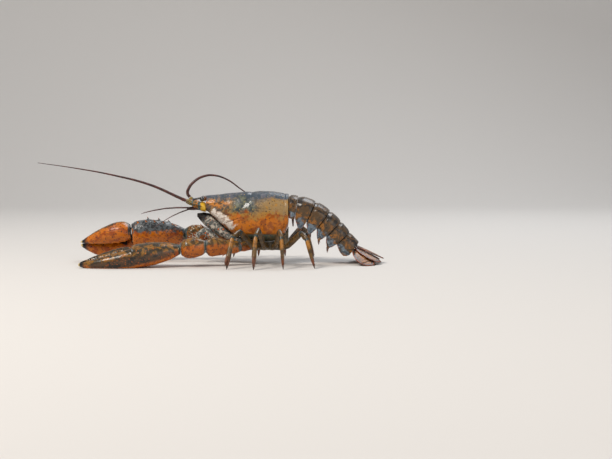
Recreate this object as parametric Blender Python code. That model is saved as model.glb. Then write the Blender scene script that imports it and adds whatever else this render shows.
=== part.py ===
"""A life-size American lobster, standing on its walking legs with both claws laid out in front.

The animal faces -X, its left side is -Y and up is +Z, in metres. Every shell plate and limb is a
named object. Sizes follow from the length of the carapace and from the length of the claws.
"""

import math

import bmesh
import bpy
from mathutils import Matrix, Vector

MM = 0.001
GAP = 0.3 * MM  # air kept between shells that touch
LEFT, RIGHT = -1, 1
SIDE_NAME = {LEFT: "left", RIGHT: "right"}
UP = Vector((0, 0, 1))

# Driving dimensions
CARAPACE = 88 * MM  # eye socket to the rear edge of the carapace
BELLY = 0.27 * CARAPACE  # lowest edge of the carapace above the floor
ROSTRUM = 0.345 * CARAPACE
ABDOMEN = 0.99 * CARAPACE  # six segments, without the tail fan
STERNUM_HALF_WIDTH = 0.095 * CARAPACE
CRUSHER_LENGTH = 1.34 * CARAPACE
CUTTER_LENGTH = 1.25 * CARAPACE
TELSON_LENGTH = 0.35 * CARAPACE

SHELL_OLIVE = (0.075, 0.050, 0.025)
SHELL_AMBER = (0.36, 0.12, 0.012)
LEG_OLIVE = (0.085, 0.055, 0.020)
TAIL_BROWN = (0.045, 0.028, 0.018)
FAN_AMBER = (0.14, 0.055, 0.012)
FRILL_RED = (0.13, 0.035, 0.016)
WHIP_MAROON = (0.075, 0.022, 0.018)
EYE_BLACK = (0.010, 0.010, 0.014)
CRUST_CREAM = (0.42, 0.37, 0.30)


# Tools that every part shares


def material(name, colour, roughness):
    made = bpy.data.materials.get(name)
    if made is None:
        made = bpy.data.materials.new(name)
        made.use_nodes = True
        shader = made.node_tree.nodes["Principled BSDF"]
        shader.inputs["Base Color"].default_value = (*colour, 1)
        shader.inputs["Roughness"].default_value = roughness
        shader.inputs["Metallic"].default_value = 0
    return made


def through(*knots):
    """A smooth curve through (x, y) knots, as a function of x that stays level past its ends."""
    xs = [x for x, _ in knots]
    ys = [y for _, y in knots]
    last = len(knots) - 1

    def slope(i):
        before, after = max(i - 1, 0), min(i + 1, last)
        return (ys[after] - ys[before]) / (xs[after] - xs[before])

    def value(x):
        x = min(max(x, xs[0]), xs[-1])
        i = max(j for j in range(last) if xs[j] <= x)
        span = xs[i + 1] - xs[i]
        t = (x - xs[i]) / span
        ease = t * t * (3 - 2 * t)
        bend = span * (slope(i) * t * (1 - t) ** 2 - slope(i + 1) * t * t * (1 - t))
        return ys[i] * (1 - ease) + ys[i + 1] * ease + bend

    return value


def power(value, exponent):
    return math.copysign(abs(value) ** exponent, value)


def section(centre, across, up, half_width, above, below=None, sides=16, box=(1, 1)):
    """Points round a closed section. box squares its upper and lower corners below 1."""
    below = above if below is None else below
    ring = []
    for k in range(sides):
        angle = math.tau * (k + 0.5) / sides
        c, s = math.cos(angle), math.sin(angle)
        height, corner = (above, box[0]) if s > 0 else (below, box[1])
        ring.append(centre + across * half_width * power(c, corner) + up * height * power(s, corner))
    return ring


def solid(name, mesh, finish):
    """Makes an object of a bmesh, with its faces pointing out."""
    bmesh.ops.recalc_face_normals(mesh, faces=mesh.faces)
    data = bpy.data.meshes.new(name)
    mesh.to_mesh(data)
    mesh.free()
    data.shade_smooth()
    data.set_sharp_from_angle(angle=math.radians(50))
    data.materials.append(finish)
    node = bpy.data.objects.new(name, data)
    lobster.objects.link(node)
    return node


def loft(name, rings, finish, tip=None):
    """A closed skin over rings of points, ending flat or in one tip point."""
    mesh = bmesh.new()
    rows = [[mesh.verts.new(point) for point in ring] for ring in rings]
    for row, following in zip(rows, rows[1:]):
        for k in range(len(row)):
            mesh.faces.new((row[k - 1], row[k], following[k], following[k - 1]))
    mesh.faces.new(rows[0])
    if tip is None:
        mesh.faces.new(rows[-1])
    else:
        point = mesh.verts.new(tip)
        for k in range(len(rows[-1])):
            mesh.faces.new((rows[-1][k - 1], rows[-1][k], point))
    return solid(name, mesh, finish)


def tube_rings(path, sides, start=None, end=None, box=(1, 1)):
    """Rings along a path of (point, half across, half up). start and end turn the end rings."""
    points = [point for point, _, _ in path]
    rings = []
    for i, (point, half_across, half_up) in enumerate(path):
        before = points[max(i - 1, 0)]
        after = points[min(i + 1, len(points) - 1)]
        along = (after - point).normalized() + (point - before).normalized()
        if i == 0 and start is not None:
            along = start
        if i == len(path) - 1 and end is not None:
            along = end
        along = along.normalized()
        across = along.cross(UP).normalized()
        up = across.cross(along)
        rings.append(section(point, across, up, half_across, half_up, sides=sides, box=box))
    return rings


def swollen(start, stop, shape, shoulder):
    """Path rings of one limb segment between two joints, from (share, half across, half up) rows.

    The first and last rows lie at the joints and the others keep a shoulder's length from them."""
    length = (stop - start).length
    low, high = shoulder / length, 1 - shoulder / length
    rings = []
    for share, half_across, half_up in shape:
        if 0 < share < 1:
            share = low + (high - low) * share
        rings.append((start.lerp(stop, share), half_across, half_up))
    return rings


def spine(root, towards, length, radius, sides=5):
    """A cone that stands on root, with its base sunk into what carries it."""
    towards = towards.normalized()
    sunk = max(0.45 * length, 1.0 * MM)
    place = Matrix.Translation(root + towards * (length - sunk) / 2)
    cone = bmesh.new()
    bmesh.ops.create_cone(
        cone,
        cap_ends=True,
        segments=sides,
        radius1=radius,
        radius2=0.1 * radius,
        depth=length + sunk,
        matrix=place @ towards.to_track_quat("Z", "Y").to_matrix().to_4x4(),
    )
    return solid("spine", cone, shell)


def knob(centre, radii, turn=None):
    """A small rounded lump, such as a molar tooth of the crusher."""
    ball = bmesh.new()
    place = Matrix.Translation(centre) @ (turn or Matrix.Identity(4)) @ Matrix.Diagonal((*radii, 1))
    bmesh.ops.create_icosphere(ball, subdivisions=1, radius=1, matrix=place)
    return solid("knob", ball, shell)


def largest_only(mesh):
    """Deletes every closed surface of a bmesh but the one with the most faces."""
    loose = set(mesh.faces)
    shells = []
    while loose:
        reached = [loose.pop()]
        group = set(reached)
        while reached:
            for edge in reached.pop().edges:
                for face in edge.link_faces:
                    if face in loose:
                        loose.discard(face)
                        group.add(face)
                        reached.append(face)
        shells.append(group)
    keep = max(shells, key=len)
    bmesh.ops.delete(mesh, geom=[face for face in mesh.faces if face not in keep], context="FACES")


def fuse(node, pieces, solver="MANIFOLD"):
    """Joins pieces into node with one Boolean union and removes them."""
    group = bpy.data.collections.new("pieces")
    bpy.context.scene.collection.children.link(group)
    for piece in pieces:
        group.objects.link(piece)
        lobster.objects.unlink(piece)
    union = node.modifiers.new("Union", "BOOLEAN")
    union.operation = "UNION"
    union.operand_type = "COLLECTION"
    union.collection = group
    union.solver = solver
    bpy.context.view_layer.update()
    joined = bpy.data.meshes.new_from_object(node.evaluated_get(bpy.context.evaluated_depsgraph_get()))
    node.modifiers.clear()
    mesh = bmesh.new()
    mesh.from_mesh(joined)
    bmesh.ops.remove_doubles(mesh, verts=mesh.verts, dist=0.02 * MM)
    largest_only(mesh)
    mesh.to_mesh(joined)
    mesh.free()
    joined.set_sharp_from_angle(angle=math.radians(50))
    node.data = joined
    for piece in list(group.objects):
        bpy.data.objects.remove(piece)
    bpy.data.collections.remove(group)
    return node


def stand_on_floor(node):
    """Cuts what dips below the floor to a small flat at z = 0."""
    mesh = bmesh.new()
    mesh.from_mesh(node.data)
    everything = mesh.verts[:] + mesh.edges[:] + mesh.faces[:]
    bmesh.ops.bisect_plane(mesh, geom=everything, plane_co=(0, 0, 0), plane_no=UP, clear_inner=True)
    rim = [edge for edge in mesh.edges if edge.is_boundary]
    if rim:
        bmesh.ops.holes_fill(mesh, edges=rim)
    bmesh.ops.recalc_face_normals(mesh, faces=mesh.faces)
    mesh.to_mesh(node.data)
    mesh.free()
    return node


def heading(side, turned_out, climb):
    """The direction turned_out degrees from straight ahead towards one side, climbing by climb."""
    out, rise = math.radians(turned_out), math.radians(climb)
    return Vector(
        (-math.cos(out) * math.cos(rise), side * math.sin(out) * math.cos(rise), math.sin(rise))
    )


def inward_and_crest(way, side):
    """Two directions square to a limb: one to the middle of the body, one to the limb's top."""
    across = way.cross(UP).normalized()
    return across * -side, across.cross(way)


def down_to(height, floor, length):
    """The climb, in degrees, that takes a segment of this length from a height down to floor."""
    return -math.degrees(math.asin((height - floor) / length))


for old in list(bpy.data.objects):
    bpy.data.objects.remove(old)
lobster = bpy.data.collections.new("american_lobster")
bpy.context.scene.collection.children.link(lobster)

shell = material("shell_olive", SHELL_OLIVE, 0.35)
amber = material("claw_amber", SHELL_AMBER, 0.35)
leg_shell = material("leg_olive", LEG_OLIVE, 0.40)
tail_shell = material("tail_brown", TAIL_BROWN, 0.35)
fan_shell = material("fan_amber", FAN_AMBER, 0.35)
frill = material("frill_red", FRILL_RED, 0.50)
whip = material("whip_maroon", WHIP_MAROON, 0.45)
eye_black = material("eye_black", EYE_BLACK, 0.12)
crust = material("mouth_cream", CRUST_CREAM, 0.60)


# Carapace: one rounded shell, deepest behind its middle, with the rostrum and its spines in front.
# Its shares run from 0 at the eye sockets to 1 at its rear edge.

FACE = -0.01  # share where the blunt face of the head stands
GROOVE = 0.56  # share of the neck groove on the back
GROOVE_SWEEP = 0.20  # how far forward the groove runs on its way down the sides
GROOVE_DEPTH = 1.2 * MM
WIDEST = 0.45  # share of the height where the carapace is widest

half_width_at = through(
    (FACE, 0.148), (0.15, 0.185), (0.35, 0.225), (0.60, 0.260), (0.80, 0.266), (1, 0.244)
)
top_at = through((FACE, 0.565), (0.30, 0.600), (0.63, 0.622), (0.85, 0.615), (1, 0.585))
bottom_at = through(
    (FACE, 0.385), (0.15, 0.245), (0.31, 0.100), (0.50, 0.035), (0.76, 0.0), (0.91, 0.04), (1, 0.19)
)


def back_height(share):
    return BELLY + CARAPACE * top_at(share)


def underside(share):
    return BELLY + CARAPACE * bottom_at(share)


def carapace_point(share, angle, sunk=0.0):
    """A point on the carapace. angle runs from 0 on the right flank over pi / 2 on the back."""
    c, s = math.cos(angle), math.sin(angle)
    low, high = underside(share), back_height(share)
    middle = low + WIDEST * (high - low)
    corner = 0.93 if s > 0 else 0.62
    height = (high - middle) if s > 0 else (middle - low)
    half = CARAPACE * half_width_at(share) - sunk
    return Vector(
        (CARAPACE * share, half * power(c, corner), middle + (height - sunk) * power(s, corner))
    )


def carapace_ring(share, sides):
    ring = []
    for k in range(sides):
        angle = math.tau * (k + 0.5) / sides
        lowness = min(1, 1 - math.sin(angle))
        sweep = GROOVE_SWEEP * lowness * math.sin(math.pi * min(max(share, 0), 1))
        groove = max(0, 1 - abs(share - GROOVE) / 0.025) * max(0, math.sin(angle) + 0.35)
        ring.append(carapace_point(share - sweep, angle, GROOVE_DEPTH * min(1, groove)))
    return ring


carapace_shares = [FACE, 0.04, 0.11, 0.20, 0.30, 0.40, 0.48, 0.53, GROOVE]
carapace_shares += [0.59, 0.64, 0.72, 0.81, 0.90, 0.97, 1]
carapace = loft("carapace", [carapace_ring(share, 26) for share in carapace_shares], shell)

# Rostrum: a flat-topped spike that dips a little and carries pairs of spines on its edges
rostrum_half_width = through((-0.345, 0.006), (-0.25, 0.022), (-0.12, 0.042), (0, 0.070), (0.13, 0.085))
rostrum_top = through((-0.345, 0.502), (-0.20, 0.524), (0, 0.570), (0.13, 0.578))
ROSTRUM_THICKNESS = 0.042 * CARAPACE
rostrum_rings = []
for share in (0.13, 0.0, -0.07, -0.15, -0.23, -0.30):
    thickness = ROSTRUM_THICKNESS * (0.35 + 0.65 * (1 + share / 0.345))
    top = BELLY + CARAPACE * rostrum_top(share)
    centre = Vector((CARAPACE * share, 0, top - thickness / 2))
    half = CARAPACE * rostrum_half_width(share)
    rostrum_rings.append(
        section(centre, Vector((0, 1, 0)), UP, half, thickness / 2, sides=8, box=(0.7, 1))
    )
rostrum_tip = Vector((-ROSTRUM, 0, BELLY + CARAPACE * 0.506))
head_spines = [loft("rostrum", rostrum_rings, shell, tip=rostrum_tip)]
for side in (LEFT, RIGHT):
    for share, length in ((-0.06, 3.6 * MM), (-0.14, 3.2 * MM), (-0.22, 2.6 * MM)):
        edge = Vector(
            (
                CARAPACE * share,
                side * CARAPACE * rostrum_half_width(share) * 0.85,
                BELLY + CARAPACE * rostrum_top(share) - ROSTRUM_THICKNESS * 0.3,
            )
        )
        head_spines.append(spine(edge, heading(side, 28, 22), length, 0.9 * MM))
    # one spine over each eye, one beside the antenna and one behind the eye
    for share, round_from_top, sunk, way, length, radius in (
        (0.02, 0.75, 1.0, heading(side, 18, 14), 4.6, 1.3),
        (0.015, 1.55, 1.0, heading(side, 10, 0), 5.2, 1.5),
        (0.10, 0.95, 0.0, heading(side, 25, 35), 2.2, 1.0),
    ):
        root = carapace_point(share, math.pi / 2 - side * round_from_top, sunk * MM)
        head_spines.append(spine(root, way, length * MM, radius * MM))
fuse(carapace, head_spines)


# Sternum: the narrow keel under the thorax that the ten legs grow from. It closes the thorax from
# below as far back as the abdomen.

sternum_rings = []
STERNUM_DEPTH = 0.105 * CARAPACE
STERNUM_FRONT = 0.43
sternum_shares = ((STERNUM_FRONT, 1), (0.55, 1), (0.67, 1), (0.76, 1), (0.84, 1), (0.95, 1), (0.965, 1))
sternum_shares += ((1.0, 0.45),)
for share, narrowed in sternum_shares:
    top = underside(share) - GAP - 0.1 * MM
    bottom = BELLY - STERNUM_DEPTH * (0.4 + 0.6 * narrowed)
    half = STERNUM_HALF_WIDTH * narrowed
    outline = ((-half, bottom), (0, bottom - 0.6 * MM), (half, bottom), (half, top), (-half, top))
    sternum_rings.append([Vector((CARAPACE * share, y, z)) for y, z in outline])
loft("sternum", sternum_rings, shell)


# Mouth: the jaws' block, which closes the head from below and narrows to a muzzle under the
# antennules, and one pair of maxillipeds that run forward below it and fold down at a knee

JAW_BACK, JAW_FRONT = 0.42, 0.03
JAW_HALF_WIDTH = 0.105 * CARAPACE
jaw_floor = through((JAW_FRONT, 0.150), (0.20, 0.038), (JAW_BACK, -0.034))
jaw_rows = []
for share in (JAW_BACK, 0.34, 0.26, 0.18, 0.10, JAW_FRONT):
    top = underside(share) - GAP - 0.2 * MM
    jaw_rows.append((share, JAW_HALF_WIDTH, top, min(BELLY + CARAPACE * jaw_floor(share), top - 2 * MM)))
muzzle = ((-0.03, 8.4, 31.2, 17.0), (-0.08, 6.6, 31.0, 22.0), (-0.125, 4.0, 30.4, 27.0))
for share, half_width, top, floor in muzzle:
    jaw_rows.append((share, half_width * MM, BELLY + top * MM, BELLY + floor * MM))
jaw_rings = []
for share, half_width, top, floor in jaw_rows:
    centre = Vector((CARAPACE * share, 0, (top + floor) / 2))
    half_height = (top - floor) / 2
    jaw_rings.append(
        section(centre, Vector((0, 1, 0)), UP, half_width, half_height, sides=12, box=(0.6, 0.8))
    )
loft("jaws", jaw_rings, crust)

for side in (LEFT, RIGHT):
    hip = Vector((STERNUM_FRONT * CARAPACE - GAP, side * 5.4 * MM, BELLY - 6.2 * MM))
    middle = Vector((14.0 * MM, side * 5.6 * MM, BELLY - 1.4 * MM))
    knee = Vector((-3.5 * MM, side * 6.6 * MM, BELLY + 11.8 * MM))
    wrist = Vector((-9.6 * MM, side * 6.4 * MM, BELLY + 8.2 * MM))
    palm = Vector((-12.6 * MM, side * 6.0 * MM, BELLY + 2.4 * MM))
    tip = Vector((-14.6 * MM, side * 5.5 * MM, BELLY - 3.2 * MM))
    path = [(hip, 2.6 * MM, 1.8 * MM)]
    path += swollen(hip, middle, ((0.02, 3.8 * MM, 2.6 * MM), (0.98, 4.4 * MM, 3.5 * MM)), 1.5 * MM)
    path += swollen(middle, knee, ((0.02, 4.4 * MM, 3.7 * MM), (0.98, 4.2 * MM, 3.7 * MM)), 3.6 * MM)
    path += [(knee, 3.4 * MM, 3.1 * MM)]
    path += swollen(knee, wrist, ((0.5, 3.6 * MM, 3.1 * MM),), 3.0 * MM)
    path += [(wrist, 3.0 * MM, 2.5 * MM)]
    path += swollen(wrist, palm, ((0.3, 3.2 * MM, 2.6 * MM), (0.9, 2.8 * MM, 2.2 * MM)), 1.6 * MM)
    path += [(palm.lerp(tip, 0.45), 1.8 * MM, 1.6 * MM)]
    rings = tube_rings(path, 10, start=Vector((-1, 0, 0)))
    loft("maxilliped_" + SIDE_NAME[side], rings, crust, tip=tip)


# Head: eyes on stalks, antennae with their scales and whips, and the forked antennules.
# Heights are measured from the belly line.

HEAD_FACE = FACE * CARAPACE - GAP
EYE_RADIUS = 2.8 * MM

for side in (LEFT, RIGHT):
    stalk_root = Vector((HEAD_FACE, side * 7.4 * MM, BELLY + 45.6 * MM))
    eye_centre = Vector((-5.0 * MM, side * 9.6 * MM, BELLY + 46.4 * MM))
    stalk_path = [(stalk_root, 1.7 * MM, 1.7 * MM)]
    stalk_path += [(stalk_root.lerp(eye_centre, 0.9), 2.1 * MM, 2.1 * MM)]
    stalk_rings = tube_rings(stalk_path, 8, start=Vector((-1, 0, 0)))
    eye = loft("eye_" + SIDE_NAME[side], stalk_rings, eye_black)
    ball = bmesh.new()
    bmesh.ops.create_uvsphere(
        ball, u_segments=12, v_segments=8, radius=EYE_RADIUS, matrix=Matrix.Translation(eye_centre)
    )
    fuse(eye, [solid("ball", ball, eye_black)])

# Antenna base: three thick segments and the leaf-shaped scale on their outer side
BASE_TIP = {}
LAST_JOINT = {LEFT: (-22.0, 9.6, 44.4), RIGHT: (-19.6, 10.4, 47.0)}
for side in (LEFT, RIGHT):
    root = Vector((HEAD_FACE, side * 9.4 * MM, BELLY + 36.4 * MM))
    first = Vector((-9.0 * MM, side * 10.0 * MM, BELLY + 39.6 * MM))
    second = Vector((-15.5 * MM, side * 10.0 * MM, BELLY + 41.8 * MM))
    reach, out, height = LAST_JOINT[side]
    third = Vector((reach * MM, side * out * MM, BELLY + height * MM))
    path = [(root, 3.8 * MM, 4.2 * MM)]
    path += swollen(root, first, ((0.3, 4.3 * MM, 4.7 * MM), (0.95, 4.0 * MM, 4.3 * MM)), 1.0 * MM)
    path += [(first, 3.1 * MM, 3.3 * MM)]
    path += swollen(first, second, ((0.1, 3.5 * MM, 3.8 * MM), (0.9, 3.4 * MM, 3.6 * MM)), 0.9 * MM)
    path += [(second, 2.5 * MM, 2.7 * MM)]
    path += swollen(second, third, ((0.1, 2.9 * MM, 3.0 * MM), (0.8, 2.8 * MM, 2.8 * MM)), 0.9 * MM)
    path += [(third, 2.3 * MM, 2.3 * MM)]
    whip_way = (third - second).normalized()
    base = loft(
        "antenna_base_" + SIDE_NAME[side],
        tube_rings(path, 10, start=Vector((-1, 0, 0)), end=whip_way),
        amber,
    )
    scale_root = Vector((-5.0 * MM, side * 12.0 * MM, BELLY + 38.6 * MM))
    scale_tip = Vector((-21.0 * MM, side * 15.4 * MM, BELLY + 43.6 * MM))
    leaf = []
    for share, half in ((0, 2.0 * MM), (0.3, 3.6 * MM), (0.6, 3.7 * MM), (0.85, 2.2 * MM)):
        leaf.append((scale_root.lerp(scale_tip, share), half, 0.6 * MM))
    extras = [loft("scale", tube_rings(leaf, 8), amber, tip=scale_tip)]
    thorn_root = Vector((-9.5 * MM, side * 13.0 * MM, BELLY + 37.6 * MM))
    extras.append(spine(thorn_root, heading(side, 20, 5), 3.0 * MM, 1.0 * MM))
    fuse(base, extras)
    BASE_TIP[side] = (third + whip_way * GAP, whip_way)

# Whips: long tapered bristles. The left one reaches forward and up, the right one arches back.
WHIP_ROOT_RADIUS = 1.75 * MM
WHIP_TIP_RADIUS = 0.32 * MM
WHIP_POINTS = 30
whip_routes = {
    LEFT: ((-60, -14, 61.5), (-100, -22, 72.5), (-138, -31, 80), (-176, -42, 86)),
    RIGHT: (
        (-21.4, 10, 55.5),
        (-14.8, 12.5, 64.5),
        (-4.5, 16, 70),
        (6, 20, 70.8),
        (20, 26, 66),
        (35, 33, 55),
        (52, 42, 43),
        (70, 52, 33),
    ),
}


def line_through(knots):
    """A smooth line through points in space, as a function of the share of its length."""
    reach = [0.0]
    for knot, following in zip(knots, knots[1:]):
        reach.append(reach[-1] + (following - knot).length)
    axes = [through(*[(at, knot[axis]) for at, knot in zip(reach, knots)]) for axis in range(3)]
    return lambda share: Vector([axis(share * reach[-1]) for axis in axes])


for side in (LEFT, RIGHT):
    start, way = BASE_TIP[side]
    knots = [start, start + way * 5.0 * MM]
    knots += [Vector((x * MM, y * MM, BELLY + z * MM)) for x, y, z in whip_routes[side]]
    route = line_through(knots)
    line = bpy.data.curves.new("antenna_whip_" + SIDE_NAME[side], "CURVE")
    line.dimensions = "3D"
    line.bevel_depth = 1
    line.bevel_resolution = 2
    line.use_fill_caps = True
    spline = line.splines.new("POLY")
    spline.points.add(WHIP_POINTS - 1)
    for k, point in enumerate(spline.points):
        share = (k / (WHIP_POINTS - 1)) ** 1.15
        point.co = (*route(share), 1)
        point.radius = WHIP_TIP_RADIUS + (WHIP_ROOT_RADIUS - WHIP_TIP_RADIUS) * (1 - share) ** 1.2
    line.materials.append(whip)
    lobster.objects.link(bpy.data.objects.new(line.name, line))

# Antennules: a slim three-part stem with an upper and a lower bristle
for side in (LEFT, RIGHT):
    root = Vector((HEAD_FACE, side * 2.7 * MM, BELLY + 36.6 * MM))
    fork = Vector((-22.0 * MM, side * 3.4 * MM, BELLY + 35.6 * MM))
    path = [(root, 1.9 * MM, 2.3 * MM)]
    shape = ((0.3, 2.0 * MM, 2.5 * MM), (0.55, 1.7 * MM, 1.9 * MM), (0.65, 1.8 * MM, 2.1 * MM))
    path += swollen(root, fork, shape, MM)
    path += [(fork, 1.3 * MM, 1.5 * MM)]
    stem = loft("antennule_" + SIDE_NAME[side], tube_rings(path, 8, start=Vector((-1, 0, 0))), whip)
    upper_end = Vector((-71.0 * MM, side * 10 * MM, BELLY + 30.5 * MM))
    lower_end = Vector((-58.5 * MM, side * 6 * MM, BELLY + 14.5 * MM))
    bristles = []
    for lift, out, end in ((0.9 * MM, 0.5 * MM, upper_end), (-0.8 * MM, -0.4 * MM, lower_end)):
        begin = fork + Vector((1.6 * MM, side * out, lift))
        bristle = []
        for share in (0, 0.25, 0.5, 0.75, 1):
            arch = Vector((0, 0, 2.2 * MM * math.sin(math.pi * share)))
            radius = (0.72 - 0.42 * share) * MM
            bristle.append((begin.lerp(end, share) + arch, radius, radius))
        bristles.append(loft("bristle", tube_rings(bristle, 6), whip))
    fuse(stem, bristles)


# Arms and claws. Lengths of the arm follow the carapace.

ARM_ROOT = 0.505  # share of the carapace where the arms leave the sternum
ARM_HEIGHT = BELLY - 3.6 * MM
COXA_RADIUS = 5.4 * MM
MERUS_LENGTH = 0.44 * CARAPACE
CARPUS_LENGTH = 0.30 * CARAPACE


def limb_node(name, path, finish, start, end, sides=10):
    return loft(name, tube_rings(path, sides, start=start, end=end, box=(0.92, 0.92)), finish)


def arm(side, merus_way, carpus_way, claw_way):
    """Base, merus and carpus of one arm. Returns where the claw starts and its joint's direction."""
    name = SIDE_NAME[side]
    outward = Vector((0, side, 0))
    root = Vector((ARM_ROOT * CARAPACE, side * (STERNUM_HALF_WIDTH + GAP), ARM_HEIGHT))
    turn = root + outward * 9.5 * MM
    ischium_way = heading(side, 48, -4)
    hinge = turn + ischium_way * 11.5 * MM
    joint = (ischium_way + merus_way).normalized()
    path = [(root, COXA_RADIUS, COXA_RADIUS), (root + outward * 5.5 * MM, 6.0 * MM, COXA_RADIUS)]
    path += [(turn, 5.2 * MM, 5.0 * MM), (turn.lerp(hinge, 0.55), 5.0 * MM, 5.6 * MM)]
    path += [(hinge, 3.6 * MM, 4.4 * MM)]
    limb_node("arm_base_" + name, path, amber, outward, joint)

    start = hinge + joint * GAP
    stop = start + merus_way * MERUS_LENGTH
    next_joint = (merus_way + carpus_way).normalized()
    shape = (
        (0, 3.6 * MM, 4.6 * MM),
        (0.02, 5.2 * MM, 6.6 * MM),
        (0.5, 6.6 * MM, 8.6 * MM),
        (0.85, 7.4 * MM, 10.6 * MM),
        (0.98, 6.8 * MM, 9.8 * MM),
        (1, 5.0 * MM, 6.6 * MM),
    )
    path = swollen(start, stop, shape, 3.2 * MM)
    merus = limb_node("arm_merus_" + name, path, amber, joint, next_joint)
    mesial, crest = inward_and_crest(merus_way, side)
    spines = []
    for share, height in ((0.55, 8.6), (0.74, 9.8), (0.9, 10.0)):
        root = start.lerp(stop, share) + crest * height * MM
        spines.append(spine(root, merus_way + crest * 0.9, 3.4 * MM, 1.5 * MM))
    for share in (0.45, 0.62, 0.79):
        root = start.lerp(stop, share) - crest * 8.2 * MM + mesial * 1.5 * MM
        spines.append(spine(root, merus_way - crest, 2.8 * MM, 1.3 * MM))
    fuse(merus, spines)

    start = stop + next_joint * GAP
    stop = start + carpus_way * CARPUS_LENGTH
    last_joint = (carpus_way + claw_way).normalized()
    shape = (
        (0, 5.0 * MM, 6.6 * MM),
        (0.05, 7.6 * MM, 9.2 * MM),
        (0.45, 10.2 * MM, 11.0 * MM),
        (0.8, 11.4 * MM, 10.8 * MM),
        (0.98, 9.6 * MM, 9.0 * MM),
        (1, 6.4 * MM, 6.4 * MM),
    )
    path = swollen(start, stop, shape, 3.0 * MM)
    carpus = limb_node("arm_carpus_" + name, path, amber, next_joint, last_joint, 12)
    mesial, crest = inward_and_crest(carpus_way, side)
    spines = []
    for share, lean in ((0.3, 1.1), (0.52, 0.95), (0.74, 0.8)):
        out = (mesial * math.cos(lean) + crest * math.sin(lean)).normalized()
        middle = start.lerp(stop, share)
        spines.append(spine(middle + out * 10.2 * MM, out + carpus_way * 0.5, 4.4 * MM, 1.9 * MM))
        spines.append(spine(middle + mesial * 9.6 * MM, mesial + carpus_way * 0.7, 4.0 * MM, 1.8 * MM))
        out = (crest - mesial * 0.8).normalized()
        spines.append(spine(middle + out * 10.4 * MM, out + carpus_way * 0.5, 2.8 * MM, 1.5 * MM))
    fuse(carpus, spines)
    return stop + last_joint * GAP, last_joint


class Claw:
    """The frame of one claw. Shares run from 0 at the wrist to 1 at the tip of the fixed finger,
    and mesial is the side of the moving finger."""

    def __init__(self, side, wrist, way, roll, length):
        self.wrist, self.way, self.length, self.side = wrist, way, length, side
        level, crest = inward_and_crest(way, side)
        turn = math.radians(roll)
        self.mesial = level * math.cos(turn) + crest * math.sin(turn)
        self.dorsal = crest * math.cos(turn) - level * math.sin(turn)

    def point(self, share, mesial=0.0, dorsal=0.0):
        offset = self.way * share + self.mesial * mesial + self.dorsal * dorsal
        return self.wrist + offset * self.length

    def ring(self, share, lateral, mesial, half, sides, lift=0.0):
        centre = self.point(share, (lateral + mesial) / 2, lift)
        half_width, half_height = (mesial - lateral) / 2 * self.length, half * self.length
        box = (0.9, 0.9)
        return section(centre, self.mesial, self.dorsal, half_width, half_height, sides=sides, box=box)


# Outlines of both claws, as shares of the claw's length: outer edge, inner edge of the palm,
# cutting edge of the fixed finger, both edges of the moving finger, and half the thickness
CLAW_SHAPES = {
    "crusher": {
        "outer": through(
            (0, -0.060), (0.10, -0.135), (0.28, -0.200), (0.50, -0.225), (0.72, -0.190),
            (0.90, -0.095), (1, 0.000)
        ),
        "palm": through((0, 0.060), (0.10, 0.125), (0.28, 0.190), (0.42, 0.204), (0.49, 0.172)),
        "bite": through((0.50, 0.035), (0.60, 0.002), (0.75, -0.008), (0.90, 0.010), (1, 0.022)),
        "half": through(
            (0, 0.050), (0.10, 0.092), (0.28, 0.130), (0.42, 0.130), (0.50, 0.114),
            (0.70, 0.092), (0.88, 0.054), (1, 0.016)
        ),
        "back": through(
            (0.50, 0.160), (0.55, 0.202), (0.61, 0.213), (0.70, 0.196), (0.82, 0.142),
            (0.92, 0.084), (1, 0.040)
        ),
        "mover_half": through(
            (0.50, 0.080), (0.55, 0.102), (0.62, 0.099), (0.74, 0.078), (0.88, 0.050), (0.98, 0.016)
        ),
        "teeth": ((0.585, 0.026), (0.645, 0.032), (0.715, 0.030), (0.785, 0.024), (0.845, 0.018)),
    },
    "cutter": {
        "outer": through(
            (0, -0.055), (0.10, -0.105), (0.28, -0.152), (0.50, -0.170), (0.72, -0.145),
            (0.90, -0.078), (1, -0.004)
        ),
        "palm": through((0, 0.055), (0.10, 0.105), (0.28, 0.156), (0.39, 0.164), (0.45, 0.140)),
        "bite": through((0.46, 0.025), (0.57, 0.000), (0.75, -0.010), (0.90, 0.002), (1, 0.014)),
        "half": through(
            (0, 0.048), (0.10, 0.080), (0.28, 0.108), (0.46, 0.104), (0.70, 0.072),
            (0.88, 0.042), (1, 0.014)
        ),
        "back": through(
            (0.46, 0.128), (0.51, 0.162), (0.57, 0.170), (0.68, 0.153), (0.80, 0.116),
            (0.92, 0.066), (1, 0.030)
        ),
        "mover_half": through(
            (0.46, 0.066), (0.51, 0.084), (0.58, 0.081), (0.70, 0.064), (0.88, 0.038), (0.98, 0.012)
        ),
        "teeth": (
            (0.55, 0.014), (0.60, 0.016), (0.65, 0.017), (0.70, 0.017), (0.75, 0.016), (0.80, 0.014),
            (0.85, 0.012)
        ),
    },
}
HINGE = {"crusher": 0.50, "cutter": 0.46}  # share of the claw where the moving finger starts
BITE_GAP = 0.020  # gap between the closed fingers, as a share of the claw


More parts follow.
